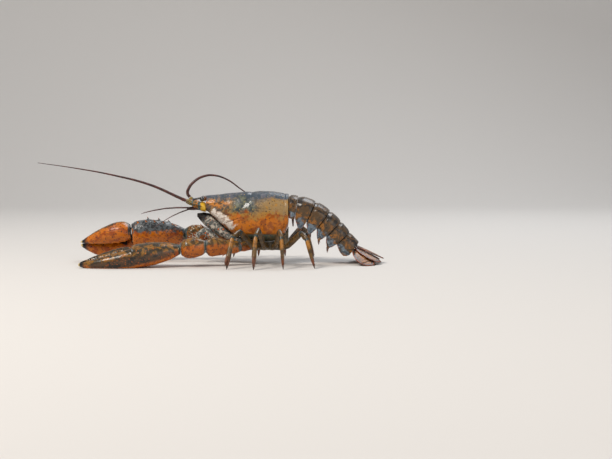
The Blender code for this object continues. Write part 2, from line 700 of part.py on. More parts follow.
def claw(kind, frame, joint):
    """Palm with the fixed finger, and the moving finger beside it."""
    shape = CLAW_SHAPES[kind]
    name = SIDE_NAME[frame.side]
    split = HINGE[kind]
    palm_end = split - 0.010
    sides = 16
    rings = [frame.ring(0, -0.052, 0.052, 0.045, sides)]
    for k, point in enumerate(rings[0]):
        rings[0][k] = point - frame.way * ((point - frame.wrist).dot(joint) / frame.way.dot(joint))
    palm_shares = (0.035, 0.09, 0.17, 0.26, 0.35, palm_end - 0.06, palm_end - 0.025, palm_end)
    finger_shares = (split, 0.56, 0.64, 0.72, 0.80, 0.88, 0.94, 0.98)
    for share in palm_shares + finger_shares:
        inner = shape["palm" if share < split else "bite"](share)
        rings.append(frame.ring(share, shape["outer"](share), inner, shape["half"](share), sides))
    tip = frame.point(1.0, shape["bite"](1) - 0.006)
    palm = loft("claw_palm_" + name, rings, amber, tip=tip)

    extras = []
    edge_spines = ((0.10, 0.25, 3.4), (0.18, 0.2, 4.6), (0.26, 0.15, 5.0), (0.34, 0.15, 4.6))
    edge_spines += ((0.42, 0.2, 3.8),)
    for share, rise, length in edge_spines:
        edge = frame.point(share, shape["palm"](share) - 0.006, 0.012)
        towards = frame.mesial + frame.way * 0.55 + frame.dorsal * rise
        extras.append(spine(edge, towards, length * MM, 1.9 * MM))
    for share, length in ((0.14, 2.6), (0.23, 3.0), (0.33, 3.0)):
        edge = frame.point(share, shape["palm"](share) * 0.86, shape["half"](share) * 0.62)
        towards = frame.mesial + frame.dorsal * 0.9 + frame.way * 0.4
        extras.append(spine(edge, towards, length * MM, 1.6 * MM))
    for share, size in shape["teeth"]:
        bite = frame.point(share, shape["bite"](share) - size * 0.55)
        if kind == "crusher":
            extras.append(knob(bite, (size * frame.length,) * 3))
        else:
            height, radius = 0.95 * size * frame.length, 0.7 * size * frame.length
            extras.append(spine(bite, frame.mesial, height, radius))
    fuse(palm, extras)

    rings = []
    start = split + GAP / frame.length
    for share in (start, start + 0.02, start + 0.05, 0.61, 0.68, 0.76, 0.84, 0.91, 0.96):
        low = shape["bite"](share) + BITE_GAP
        rings.append(frame.ring(share, low, shape["back"](share), shape["mover_half"](share), 12))
    tip = frame.point(0.99, shape["bite"](1) + BITE_GAP)
    mover = loft("claw_finger_" + name, rings, amber, tip=tip)
    extras = []
    for share, length in ((0.57, 3.6), (0.64, 2.6)):
        edge = frame.point(share, shape["back"](share) - 0.006, 0.01)
        extras.append(spine(edge, frame.mesial + frame.way * 0.8, length * MM, 1.6 * MM))
    fuse(mover, extras)
    return palm, mover


ARM_POSE = {
    # side: merus, carpus and claw as (degrees turned out, climb), the claw's kind, length and roll
    LEFT: ((22, 3), (2, -6), (7, -8.4), "cutter", CUTTER_LENGTH, 12),
    RIGHT: ((14, 13), (2, 2), (-3, -6.0), "crusher", CRUSHER_LENGTH, 50),
}
for side, (merus_turn, carpus_turn, claw_turn, kind, length, roll) in ARM_POSE.items():
    claw_way = heading(side, *claw_turn)
    wrist, joint = arm(side, heading(side, *merus_turn), heading(side, *carpus_turn), claw_way)
    for piece in claw(kind, Claw(side, wrist, claw_way, roll, length), joint):
        stand_on_floor(piece)


# Walking legs: four pairs, the first two with small pincers. Each leg rises to its knee and comes
# down so that its tip meets the floor.

LEG_ROOT_HEIGHT = BELLY - 4.7 * MM
LEG_COXA_RADIUS = 3.9 * MM
FLOOR_BITE = 0.35 * MM  # how far a tip reaches below the floor before it is cut flat
LEGS = {
    # number: share along the carapace, degrees turned out, merus climb, carpus climb, lengths of
    # merus, carpus and hand, and whether it ends in a pincer
    1: (0.625, 62, 33, -22, 34 * MM, 16 * MM, 35 * MM, True),
    2: (0.725, 80, 35, -24, 36 * MM, 16 * MM, 36 * MM, True),
    3: (0.825, 100, 34, -28, 34 * MM, 13 * MM, 35 * MM, False),
    4: (0.920, 124, 31, -30, 32 * MM, 12 * MM, 34 * MM, False),
}


def walking_leg(side, number, spec):
    share, turned, merus_climb, carpus_climb, merus_length, carpus_length, hand_length, pincer = spec
    name = f"{number}_{SIDE_NAME[side]}"
    outward = Vector((0, side, 0))
    root = Vector((share * CARAPACE, side * (STERNUM_HALF_WIDTH + GAP), LEG_ROOT_HEIGHT))
    turn = root + outward * 7.0 * MM
    hip = turn + heading(side, turned, 2) * 9.5 * MM
    merus_way = heading(side, turned, merus_climb)
    carpus_way = heading(side, turned, carpus_climb)
    knee = hip + merus_way * merus_length
    joint = (merus_way + carpus_way).normalized()
    coxa = LEG_COXA_RADIUS
    path = [(root, coxa, coxa), (root + outward * 3.5 * MM, coxa, coxa), (turn, 3.4 * MM, 3.2 * MM)]
    path += swollen(turn, hip, ((0.4, 3.0 * MM, 3.3 * MM), (0.85, 2.8 * MM, 3.0 * MM)), 0.8 * MM)
    path += [(hip, 2.3 * MM, 2.5 * MM)]
    shape = ((0.0001, 2.6 * MM, 3.4 * MM), (0.4, 2.7 * MM, 3.8 * MM), (0.95, 2.7 * MM, 3.6 * MM))
    path += swollen(hip, knee, shape, 2.4 * MM)
    path += [(knee, 2.0 * MM, 2.4 * MM)]
    loft(f"leg_{name}_upper", tube_rings(path, 8, start=outward, end=joint), leg_shell)

    start = knee + joint * GAP
    wrist = start + carpus_way * carpus_length
    hand_way = heading(side, turned, down_to(wrist.z, -FLOOR_BITE, hand_length))
    foot = wrist + hand_way * hand_length
    path = [(start, 2.0 * MM, 2.4 * MM)]
    path += swollen(start, wrist, ((0.05, 2.5 * MM, 3.0 * MM), (0.9, 2.8 * MM, 3.4 * MM)), 2.2 * MM)
    path += [(wrist, 2.1 * MM, 2.3 * MM)]
    across = hand_way.cross(UP).normalized()
    rise = across.cross(hand_way)
    widths = ((0.10, 2.3, 2.8), (0.35, 2.3, 2.8), (0.62, 2.0, 2.4), (0.70, 1.8, 2.0), (0.85, 1.3, 1.4))
    widths += ((0.96, 0.7, 0.8),)
    if pincer:
        widths = ((0.10, 2.5, 2.9), (0.35, 2.7, 3.3), (0.58, 2.8, 3.6), (0.66, 2.1, 2.4), (0.85, 1.6, 1.6))
        widths += ((0.96, 0.8, 0.9),)
    for at, half_across, half_up in widths:
        drop = -1.1 * MM if pincer and at > 0.6 else 0
        path.append((wrist.lerp(foot, at) + rise * drop, half_across * MM, half_up * MM))
    lower = loft(f"leg_{name}_lower", tube_rings(path, 8, start=joint), leg_shell, tip=foot)
    if pincer:
        hinge = wrist.lerp(foot, 0.52) + rise * 1.0 * MM
        finger_tip = wrist.lerp(foot, 0.95) + rise * 2.6 * MM
        finger = []
        for at, half in ((0, 1.3), (0.3, 1.5), (0.7, 1.1)):
            bow = rise * 1.6 * MM * math.sin(math.pi * at)
            finger.append((hinge.lerp(finger_tip, at) + bow, half * MM, half * MM))
        fuse(lower, [loft("finger", tube_rings(finger, 6), leg_shell, tip=finger_tip)])
    stand_on_floor(lower)


for side in (LEFT, RIGHT):
    for number, spec in LEGS.items():
        walking_leg(side, number, spec)


# Abdomen: six overlapping plates along a line that arches down to the tail fan. The line is
# stepped out from its pitch, in degrees below level, against the share of its length.

TAIL_START = Vector((CARAPACE + GAP, 0, BELLY + 0.437 * CARAPACE))
TAIL_STEPS = 200
pitch_at = through((0, 0), (0.3, 26), (0.6, 43), (0.85, 47), (1, 38))
tail_half_width = through((0, 0.232), (0.3, 0.238), (0.6, 0.222), (1, 0.172))
tail_half_height = through((0, 0.138), (0.4, 0.136), (1, 0.098))

tail_line = [TAIL_START.copy()]
for step in range(TAIL_STEPS):
    pitch = math.radians(pitch_at((step + 0.5) / TAIL_STEPS))
    stride = Vector((math.cos(pitch), 0, -math.sin(pitch))) * ABDOMEN / TAIL_STEPS
    tail_line.append(tail_line[-1] + stride)


def tail_frame(share):
    """Centre, backward direction and upward direction of the abdomen at a share of its length."""
    place = min(max(share, 0), 1) * TAIL_STEPS
    low = min(int(place), TAIL_STEPS - 1)
    centre = tail_line[low].lerp(tail_line[low + 1], place - low)
    pitch = math.radians(pitch_at(share))
    back = Vector((math.cos(pitch), 0, -math.sin(pitch)))
    return centre, back, Vector((math.sin(pitch), 0, math.cos(pitch)))


def plate_ring(share, swell, flap, arch_points=13):
    """Section of an abdominal plate: the arched back, the side flaps and the flat belly."""
    centre, _, up = tail_frame(share)
    half = CARAPACE * tail_half_width(share) * swell
    height = CARAPACE * tail_half_height(share)
    crown = height * (2 * swell - 1)
    outline = []
    for k in range(arch_points):
        angle = math.pi * k / (arch_points - 1)
        outline.append((half * power(math.cos(angle), 0.9), crown * power(math.sin(angle), 0.9)))
    left = [
        (-0.985 * half, -0.55 * height),
        (-0.93 * half, -(height + 0.55 * flap)),
        (-0.875 * half, -(height + flap)),
        (-0.875 * half + 1.0 * MM, -(height + flap)),
        (-0.80 * half, -(height + 0.3 * flap)),
        (-0.70 * half, -height),
    ]
    belly = [(-0.35 * half, -height), (0, -height), (0.35 * half, -height)]
    right = [(-y, z) for y, z in reversed(left)]
    return [centre + Vector((0, 1, 0)) * y + up * z for y, z in outline + left + belly + right]


PLATES = {
    # number: share of the abdomen's length that it takes, depth of its side flaps
    1: (0.100, 1.2 * MM),
    2: (0.190, 11.5 * MM),
    3: (0.182, 11.0 * MM),
    4: (0.172, 10.5 * MM),
    5: (0.166, 10.0 * MM),
    6: (0.190, 5.0 * MM),
}
PLATE_SWELL = ((0, 0.93), (0.16, 0.945), (0.24, 0.995), (0.5, 1.0), (0.76, 1.0), (0.92, 1.0), (1, 0.975))
flap_shape = through((0, 0.05), (0.22, 0.45), (0.55, 0.92), (0.78, 1.0), (0.92, 0.55), (1, 0.12))
plate_start = {}
reached = 0.0
for number, (taken, flap_depth) in PLATES.items():
    plate_start[number] = reached
    first, last = reached, reached + taken - GAP / ABDOMEN
    rings = []
    for at, swell in PLATE_SWELL:
        flap = flap_depth * flap_shape(at)
        rings.append(plate_ring(first + (last - first) * at, swell, max(flap, 0.4 * MM)))
    loft(f"tail_plate_{number}", rings, tail_shell)
    reached += taken


# Swimmerets: a short stem and two thin leaves under each of the second to fifth plates, and a
# pair of stiff rods under the first


def leaf_rings(root, way, across, length, half_width, thickness, widths, sides=6):
    """Rings of a thin leaf that runs from root along way, with widths as (share, share of half)."""
    flat = across.cross(way).normalized()
    return [
        section(root + way * length * share, across, flat, half_width * wide, thickness / 2, sides=sides)
        for share, wide in widths
    ]


for side in (LEFT, RIGHT):
    for number in range(1, 6):
        middle = plate_start[number] + PLATES[number][0] * 0.45
        centre, back, up = tail_frame(middle)
        half = CARAPACE * tail_half_width(middle)
        belly = centre - up * (CARAPACE * tail_half_height(middle) + GAP)
        root = belly + Vector((0, side * half * 0.42, 0))
        name = f"swimmeret_{number}_{SIDE_NAME[side]}"
        across = Vector((0, 1, 0))
        if number == 1:
            root += back * 1.2 * MM
            way = (-up * 0.9 + back * 0.1 + Vector((0, -side * 0.35, 0))).normalized()
            path = [section(root, across, back, 1.6 * MM, 1.4 * MM, sides=6)]
            path += [section(root + way * 4 * MM, across, back, 1.3 * MM, 1.2 * MM, sides=6)]
            path += [section(root + way * 9 * MM, across, back, 0.9 * MM, 0.8 * MM, sides=6)]
            loft(name, path, frill, tip=root + way * 11 * MM)
            continue
        hang = (-up * 0.75 + back * 0.45).normalized()
        stem_end = root - up * 4.2 * MM
        rings = [section(root, across, back, 2.2 * MM, 1.5 * MM, sides=6)]
        rings += [section(stem_end, across, back, 2.5 * MM, 1.2 * MM, sides=6)]
        stem = loft(name, rings, frill)
        widths = ((0, 0.35), (0.35, 0.95), (0.7, 1.0), (0.93, 0.55))
        leaves = []
        for lean, reach in ((0.34, 11.5 * MM), (-0.22, 10.0 * MM)):
            way = (hang + Vector((0, side * lean, 0))).normalized()
            leaf_root = stem_end + up * 1.2 * MM + back * lean * 1.2 * MM
            leaf_root += Vector((0, side * lean * 2.0 * MM, 0))
            leaf_across = way.cross(back).normalized()
            rings = leaf_rings(leaf_root, way, leaf_across, reach, 3.4 * MM, 0.9 * MM, widths)
            leaves.append(loft("leaf", rings, frill, tip=leaf_root + way * reach))
        fuse(stem, leaves)


# Tail fan: the telson in the middle and two uropods on each side, fanned down to the floor

FAN_THICKNESS = 1.8 * MM
FAN_REST = 0.5 * MM  # height of the lowest blades' middle where their ends meet the floor
FAN_LAYER = 2.7 * MM  # height of one layer of blades over the next
FAN_RIDGE = 0.6 * MM  # rise of the middle ridge of each blade
fan_end, fan_back, fan_up = tail_frame(1)


def fan_blade(name, layer, out_by, turned, side, length, half_width, widths, sides=10):
    """One blade of the fan, from the rear face of the last plate down to the floor."""
    root = fan_end + fan_back * GAP + Vector((0, side * out_by, 0))
    root += fan_up * (layer * FAN_LAYER - 2.4 * MM)
    way = heading(side, 180 - turned, down_to(root.z, FAN_REST + layer * FAN_LAYER, length))
    path = [(root, half_width * widths[0][1], FAN_THICKNESS / 2)]
    for share, wide in widths[1:]:
        thickness = FAN_THICKNESS * (1 - 0.45 * share)
        path.append((root + way * length * share, half_width * wide, thickness / 2))
    rings = tube_rings(path, sides, start=fan_back)
    top = sides // 4
    for (share, _), ring in zip(widths, rings):
        ring[top] += UP * FAN_RIDGE * math.sin(math.pi * share)
    stand_on_floor(loft(name, rings, fan_shell))


telson_widths = ((0, 0.80), (0.12, 0.95), (0.4, 1.0), (0.75, 0.93), (0.92, 0.78), (1, 0.42))
blade_widths = ((0, 0.26), (0.12, 0.42), (0.32, 0.78), (0.58, 1.0), (0.80, 0.95), (0.94, 0.68))
blade_widths += ((1, 0.34),)
fan_blade("telson", 2, 0, 0, 1, TELSON_LENGTH, 9.6 * MM, telson_widths)
for side in (LEFT, RIGHT):
    name = SIDE_NAME[side]
    fan_blade("uropod_inner_" + name, 1, 8.2 * MM, 25, side, 0.355 * CARAPACE, 9.2 * MM, blade_widths)
    fan_blade("uropod_outer_" + name, 0, 10.8 * MM, 54, side, 0.365 * CARAPACE, 10.4 * MM, blade_widths)


# The origin goes to the middle of the floor under the whole animal

bpy.context.view_layer.update()
corners = []
for node in lobster.objects:
    corners += [node.matrix_world @ Vector(corner) for corner in node.bound_box]
low_x, high_x = min(corner.x for corner in corners), max(corner.x for corner in corners)
low_y, high_y = min(corner.y for corner in corners), max(corner.y for corner in corners)
for node in lobster.objects:
    node.location = Vector((-(low_x + high_x) / 2, -(low_y + high_y) / 2, 0))
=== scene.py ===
"""The finished look of a life-size American lobster model, shell by shell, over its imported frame."""

import math
import random

import bmesh
import bpy
import numpy as np
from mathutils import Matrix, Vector, kdtree, noise


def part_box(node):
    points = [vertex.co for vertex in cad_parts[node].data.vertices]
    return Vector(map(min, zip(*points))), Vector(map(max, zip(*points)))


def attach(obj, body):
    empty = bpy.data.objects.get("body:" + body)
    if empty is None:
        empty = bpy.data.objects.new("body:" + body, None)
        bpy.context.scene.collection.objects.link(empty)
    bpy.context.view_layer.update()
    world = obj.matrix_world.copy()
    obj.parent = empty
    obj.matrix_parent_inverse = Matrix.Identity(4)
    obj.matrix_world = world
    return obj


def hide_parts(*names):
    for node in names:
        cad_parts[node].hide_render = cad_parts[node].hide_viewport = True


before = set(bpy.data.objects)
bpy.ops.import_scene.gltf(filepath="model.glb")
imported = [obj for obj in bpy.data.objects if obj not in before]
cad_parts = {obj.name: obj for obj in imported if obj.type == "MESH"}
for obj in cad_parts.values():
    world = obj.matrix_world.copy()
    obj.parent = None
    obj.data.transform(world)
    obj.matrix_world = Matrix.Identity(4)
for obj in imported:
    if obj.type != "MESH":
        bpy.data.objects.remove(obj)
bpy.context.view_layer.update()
bpy.ops.object.select_all(action="DESELECT")

MM = 0.001
LEFT, RIGHT = -1, 1
SIDE_NAME = {LEFT: "left", RIGHT: "right"}


# Carapace: the one-piece shield over head and thorax, with the rostrum and its spines in front.
# It is limy shell, moulded in one, with a neck groove and a thick rim along its lower edge.

shell_low, shell_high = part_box("carapace")
CARAPACE = (shell_high.x - shell_low.x) / 1.345  # eye socket to rear edge; the rostrum adds 0.345
SOCKET = Vector((shell_high.x - CARAPACE, 0, shell_low.z))  # under the eyes, at the lowest edge
EYE_OUT, EYE_UP = 8.2 * MM, 45.8 * MM  # middle of each eye socket, from SOCKET
RIM_END = 4.6 * MM  # how far below the eye its raised rim has died away


def linked(thing):
    """Puts an object into the scene."""
    bpy.context.scene.collection.objects.link(thing)
    return thing


def select_only(thing):
    bpy.ops.object.select_all(action="DESELECT")
    thing.select_set(True)
    bpy.context.view_layer.objects.active = thing


def points_of(piece):
    """The corners of a mesh, one row each."""
    points = np.empty(len(piece.data.vertices) * 3)
    piece.data.vertices.foreach_get("co", points)
    return points.reshape(-1, 3)


def normals_of(piece):
    normals = np.empty(len(piece.data.vertices) * 3)
    piece.data.vertex_normals.foreach_get("vector", normals)
    return normals.reshape(-1, 3)


def relaxed(piece, rounds, share):
    """Corners after moving each towards the middle of its neighbours, by its share, many times."""
    points = points_of(piece)
    count = len(points)
    ends = np.empty(len(piece.data.edges) * 2, dtype=np.int32)
    piece.data.edges.foreach_get("vertices", ends)
    first, second = ends.reshape(-1, 2).T
    links = np.bincount(first, minlength=count) + np.bincount(second, minlength=count)
    for _ in range(rounds):
        total = np.stack(
            [
                np.bincount(first, points[second, axis], count)
                + np.bincount(second, points[first, axis], count)
                for axis in range(3)
            ],
            axis=1,
        )
        points += (total / links[:, None] - points) * 0.5 * share
    return points


def paint(piece, name, values):
    """Stores one number for each corner, for the piece's material to read."""
    layer = piece.data.attributes.new(name, "FLOAT", "POINT")
    layer.data.foreach_set("value", np.asarray(values, dtype=np.float32))


def read(piece, name):
    """The numbers that paint() stored under a name."""
    values = np.empty(len(piece.data.vertices), dtype=np.float32)
    piece.data.attributes[name].data.foreach_get("value", values)
    return values


def measured(points, start, way):
    """How far each point lies from a start along a direction."""
    return (points - np.array(start)) @ np.array(way)


def fine_copy(node, name, cell, rounds, crisp=1.2 * MM, corner=40):
    """A dense copy of a solid. Its facets are rounded off, while spines and rims stay crisp, and
    the number spine on each corner tells how far that corner stands out from the shell."""
    piece = linked(bpy.data.objects.new(name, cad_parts[node].data.copy()))
    piece.data.materials.clear()
    mesh = bmesh.new()
    mesh.from_mesh(piece.data)
    bmesh.ops.remove_doubles(mesh, verts=mesh.verts, dist=0.001 * MM)
    ridges = []
    for edge in mesh.edges:
        if len(edge.link_faces) == 2 and edge.calc_face_angle() > math.radians(corner):
            steps = max(1, round(edge.calc_length() / (0.6 * MM)))
            start, stop = edge.verts[0].co, edge.verts[1].co
            ridges += [start.lerp(stop, k / steps) for k in range(steps + 1)]
    mesh.to_mesh(piece.data)
    mesh.free()
    near = kdtree.KDTree(len(ridges))
    for k, point in enumerate(ridges):
        near.insert(point, k)
    near.balance()
    select_only(piece)
    remesh = piece.modifiers.new("Remesh", "REMESH")
    remesh.mode = "VOXEL"
    remesh.voxel_size = cell
    bpy.ops.object.modifier_apply(modifier=remesh.name)
    away = np.full(len(piece.data.vertices), 9.0)
    if ridges:
        away = np.array([near.find(vertex.co)[2] for vertex in piece.data.vertices])
    loose = np.clip((away - 0.3 * crisp) / crisp, 0.0, 1.0)[:, None]
    share = 0.03 + 0.97 * loose * loose * (3 - 2 * loose)
    even = relaxed(piece, rounds, share)
    piece.data.vertices.foreach_set("co", even.ravel())
    melted = relaxed(piece, 90, 1.0)
    outward = np.einsum("ij,ij->i", even - melted, normals_of(piece))
    far = np.linalg.norm(even - melted, axis=1)
    paint(piece, "spine", np.clip((far - 0.25 * MM) / (1.2 * MM), 0, 1) * (outward > -0.1 * MM))
    piece.data.shade_smooth()
    return piece


def sculpt(piece, rise):
    """Moves each corner out along its normal by rise(point, normal), but never into the floor."""
    points, normals = points_of(piece), normals_of(piece)
    heights = [rise(Vector(point), Vector(normal)) for point, normal in zip(points, normals)]
    points += normals * np.array(heights)[:, None]
    points[:, 2] = np.maximum(points[:, 2], 0)
    piece.data.vertices.foreach_set("co", points.ravel())
    piece.data.update()


def groove(distance, width):
    """1 in the middle of a groove and 0 outside its width."""
    return max(0.0, 1 - (distance / width) ** 2) ** 2


def grain(point, size):
    """Smooth noise between about -1 and 1, with bumps of about this size."""
    return noise.noise(point / size)


def pits(point, size):
    """1 in the middle of each pit of a scattered field and 0 between the pits."""
    return max(0.0, 1 - 2.6 * noise.voronoi(point / size)[0][0])


def feed(tree, value, socket):
    """Gives a socket a number or a colour, or links it to another node's output."""
    if isinstance(value, bpy.types.NodeSocket):
        tree.links.new(value, socket)
    else:
        socket.default_value = (*value, 1) if isinstance(value, tuple) else value


def add(tree, kind, **settings):
    """Adds a shader node. Each setting is one of its properties or, with _ for a space, a socket
    that takes a value or is linked to another node's output."""
    made = tree.nodes.new(kind)
    for key, value in settings.items():
        if hasattr(made, key):
            setattr(made, key, value)
        else:
            feed(tree, value, made.inputs[key.replace("_", " ")])
    return made


def mixed(tree, factor, first, second):
    """Colour first where factor is 0 and second where it is 1."""
    mix = tree.nodes.new("ShaderNodeMix")
    mix.data_type = "RGBA"
    for index, value in ((0, factor), (6, first), (7, second)):
        feed(tree, value, mix.inputs[index])
    return mix.outputs[2]


def stepped(tree, value, start, stop):
    """0 below start and 1 above stop, with a smooth step between, or the other way round."""
    low, high = (0.0, 1.0) if start < stop else (1.0, 0.0)
    step = add(tree, "ShaderNodeMapRange", interpolation_type="SMOOTHSTEP", Value=value)
    ends = {"From Min": min(start, stop), "From Max": max(start, stop), "To Min": low, "To Max": high}
    for name, end in ends.items():
        feed(tree, end, step.inputs[name])
    return step.outputs["Result"]


def faded(tree, value, start, stop, first, second):
    """Colour first up to start and second past stop, by a value."""
    return mixed(tree, stepped(tree, value, start, stop), first, second)


def reckoned(tree, operation, first, second=0.0):
    """The result of a sum, product or other operation on two values."""
    made = add(tree, "ShaderNodeMath", operation=operation)
    for socket, value in zip(made.inputs, (first, second)):
        feed(tree, value, socket)
    return made.outputs[0]


def number(tree, name):
    """The number that paint() stored under a name."""
    return add(tree, "ShaderNodeAttribute", attribute_name=name).outputs["Fac"]


def surface(tree):
    """The place of each point of the surface."""
    return add(tree, "ShaderNodeTexCoord").outputs["Object"]


def wander(tree, amount, scale, detail, roughness=0.5):
    """Noise on both sides of zero, which makes the edge between two colours ragged."""
    where = surface(tree)
    cloud = add(tree, "ShaderNodeTexNoise", Vector=where, Scale=scale, Detail=detail, Roughness=roughness)
    return reckoned(tree, "MULTIPLY", reckoned(tree, "SUBTRACT", cloud.outputs["Fac"], 0.5), amount)


def place_in(tree, origin, unit):
    """The three coordinates of the surface from an origin, in a unit of length."""
    where = surface(tree)
    shift = add(tree, "ShaderNodeMapping", vector_type="POINT", Vector=where)
    shift.inputs["Location"].default_value = [-c / unit for c in origin]
    shift.inputs["Scale"].default_value = (1 / unit,) * 3
    split = add(tree, "ShaderNodeSeparateXYZ", Vector=shift.outputs["Vector"])
    return split.outputs


def new_group(name, colours, numbers, out_colours, out_numbers):
    """A shader group with the sockets named in each list, its inner ends and its surface."""
    group = bpy.data.node_groups.new(name, "ShaderNodeTree")
    for in_out, kind, names in (
        ("INPUT", "Color", colours),
        ("INPUT", "Float", numbers),
        ("OUTPUT", "Color", out_colours),
        ("OUTPUT", "Float", out_numbers),
    ):
        for socket in names:
            group.interface.new_socket(socket, in_out=in_out, socket_type="NodeSocket" + kind)
    inside = group.nodes.new("NodeGroupInput").outputs
    outside = group.nodes.new("NodeGroupOutput").inputs
    return group, inside, outside, surface(group)


def make_mottle_group():
    """Ragged blotches and small specks over a ground colour."""
    colours = ("Ground", "Blotch", "Speck")
    numbers = ("Blotch Size", "Blotch Cover", "Speck Size", "Speck Cover")
    group, inside, outside, where = new_group("shell_mottle", colours, numbers, ("Color",), ())
    blotch_scale = reckoned(group, "DIVIDE", 1.0, inside["Blotch Size"])
    cloud = add(group, "ShaderNodeTexNoise", Vector=where, Scale=blotch_scale, Detail=5.0)
    feed(group, 0.62, cloud.inputs["Roughness"])
    feed(group, 0.5, cloud.inputs["Distortion"])
    level = reckoned(group, "SUBTRACT", 0.72, reckoned(group, "MULTIPLY", inside["Blotch Cover"], 0.45))
    above = reckoned(group, "SUBTRACT", cloud.outputs["Fac"], level)
    blotched = faded(group, above, -0.02, 0.07, inside["Ground"], inside["Blotch"])
    speck_scale = reckoned(group, "DIVIDE", 1.0, inside["Speck Size"])
    wobble = add(group, "ShaderNodeTexNoise", Vector=where, Scale=speck_scale, Detail=1.0)
    bend = add(group, "ShaderNodeVectorMath", operation="SCALE", Vector=wobble.outputs["Color"])
    bend.inputs["Scale"].default_value = 1.1 * MM
    bent = add(group, "ShaderNodeVectorMath", operation="ADD")
    group.links.new(where, bent.inputs[0])
    group.links.new(bend.outputs[0], bent.inputs[1])
    dots = add(group, "ShaderNodeTexVoronoi", Vector=bent.outputs[0], Scale=speck_scale)
    draw = add(group, "ShaderNodeSeparateColor", Color=dots.outputs["Color"])
    chosen = reckoned(group, "LESS_THAN", draw.outputs[0], inside["Speck Cover"])
    radius = reckoned(group, "MULTIPLY_ADD", draw.outputs[1], 0.22)
    radius.node.inputs[2].default_value = 0.16
    inner = reckoned(group, "SUBTRACT", radius, dots.outputs["Distance"])
    dot = reckoned(group, "MULTIPLY", stepped(group, inner, -0.03, 0.05), chosen)
    group.links.new(mixed(group, dot, blotched, inside["Speck"]), outside["Color"])
    return group


def make_skin_group():
    """The fine skin of the shell: pores, faint growth ripples and a patchy wet film."""
    numbers, results = ("Pore Size", "Pore Depth"), ("Height", "Roughness")
    group, inside, outside, where = new_group("shell_skin", (), numbers, (), results)
    pore_scale = reckoned(group, "DIVIDE", 1.0, inside["Pore Size"])
    pore = add(group, "ShaderNodeTexVoronoi", Vector=where, Scale=pore_scale)
    sunk = stepped(group, pore.outputs["Distance"], 0.0, 0.34)
    sunk = reckoned(group, "MULTIPLY", sunk, inside["Pore Depth"])
    ripple = add(group, "ShaderNodeTexNoise", Vector=where, Scale=900.0, Detail=3.0)
    height = reckoned(group, "ADD", sunk, reckoned(group, "MULTIPLY", ripple.outputs["Fac"], 0.35))
    film = add(group, "ShaderNodeTexNoise", Vector=where, Scale=70.0, Detail=4.0)
    wet = add(group, "ShaderNodeMapRange", Value=film.outputs["Fac"], From_Min=0.35, From_Max=0.65)
    feed(group, 0.20, wet.inputs["To Min"])
    feed(group, 0.46, wet.inputs["To Max"])
    group.links.new(height, outside["Height"])
    group.links.new(wet.outputs["Result"], outside["Roughness"])
    return group


mottle_group = make_mottle_group()
skin_group = make_skin_group()


def mottled(tree, ground, blotch, speck, blotch_mm, cover, speck_mm, speck_cover):
    """Places the mottle group. Colours are tuples or sockets and sizes are in millimetres."""
    made = tree.nodes.new("ShaderNodeGroup")
    made.node_tree = mottle_group
    for name, value in (("Ground", ground), ("Blotch", blotch), ("Speck", speck)):
        feed(tree, value, made.inputs[name])
    made.inputs["Blotch Size"].default_value = blotch_mm * MM
    made.inputs["Blotch Cover"].default_value = cover
    made.inputs["Speck Size"].default_value = speck_mm * MM
    made.inputs["Speck Cover"].default_value = speck_cover
    return made.outputs["Color"]


def plainly(*look):
    """A colour_of for a shell that is mottled alike all over."""
    return lambda tree: mottled(tree, *look)


def shell_material(name, colour_of, pore_mm=1.3, pore_depth=0.6, bump=0.35, coat=0.12, rougher=0.0):
    """A limy shell with a thin wet film. colour_of(tree) gives its colour."""
    made = bpy.data.materials.new(name)
    made.use_nodes = True
    tree = made.node_tree
    shader = tree.nodes["Principled BSDF"]
    skin = tree.nodes.new("ShaderNodeGroup")
    skin.node_tree = skin_group
    skin.inputs["Pore Size"].default_value = pore_mm * MM
    skin.inputs["Pore Depth"].default_value = pore_depth
    raised = add(tree, "ShaderNodeBump", Strength=bump, Distance=0.35 * MM, Height=skin.outputs["Height"])
    tree.links.new(raised.outputs["Normal"], shader.inputs["Normal"])
    tree.links.new(reckoned(tree, "ADD", skin.outputs["Roughness"], rougher), shader.inputs["Roughness"])
    tree.links.new(colour_of(tree), shader.inputs["Base Color"])
    shader.inputs["Specular IOR Level"].default_value = 0.38
    shader.inputs["Coat Weight"].default_value = coat
    shader.inputs["Coat Roughness"].default_value = 0.14
    return made


AMBER = (0.50, 0.140, 0.002)
DEEP_AMBER = (0.28, 0.066, 0.002)
HONEY = (0.36, 0.175, 0.030)
KHAKI = (0.29, 0.180, 0.070)
UMBER = (0.085, 0.050, 0.020)
INK = (0.008, 0.008, 0.010)
SLATE = (0.105, 0.105, 0.125)
STEEL = (0.050, 0.066, 0.084)
TEAL = (0.050, 0.072, 0.060)
GREEN_BLUE = (0.135, 0.138, 0.092)
GOLD = (0.46, 0.27, 0.035)
SPINE_RED = (0.60, 0.055, 0.010)
# pale colour of the cheek patch: limy crust, its white partly a painted highlight (glare)
CRUST_AND_GLARE = (0.76, 0.67, 0.58)


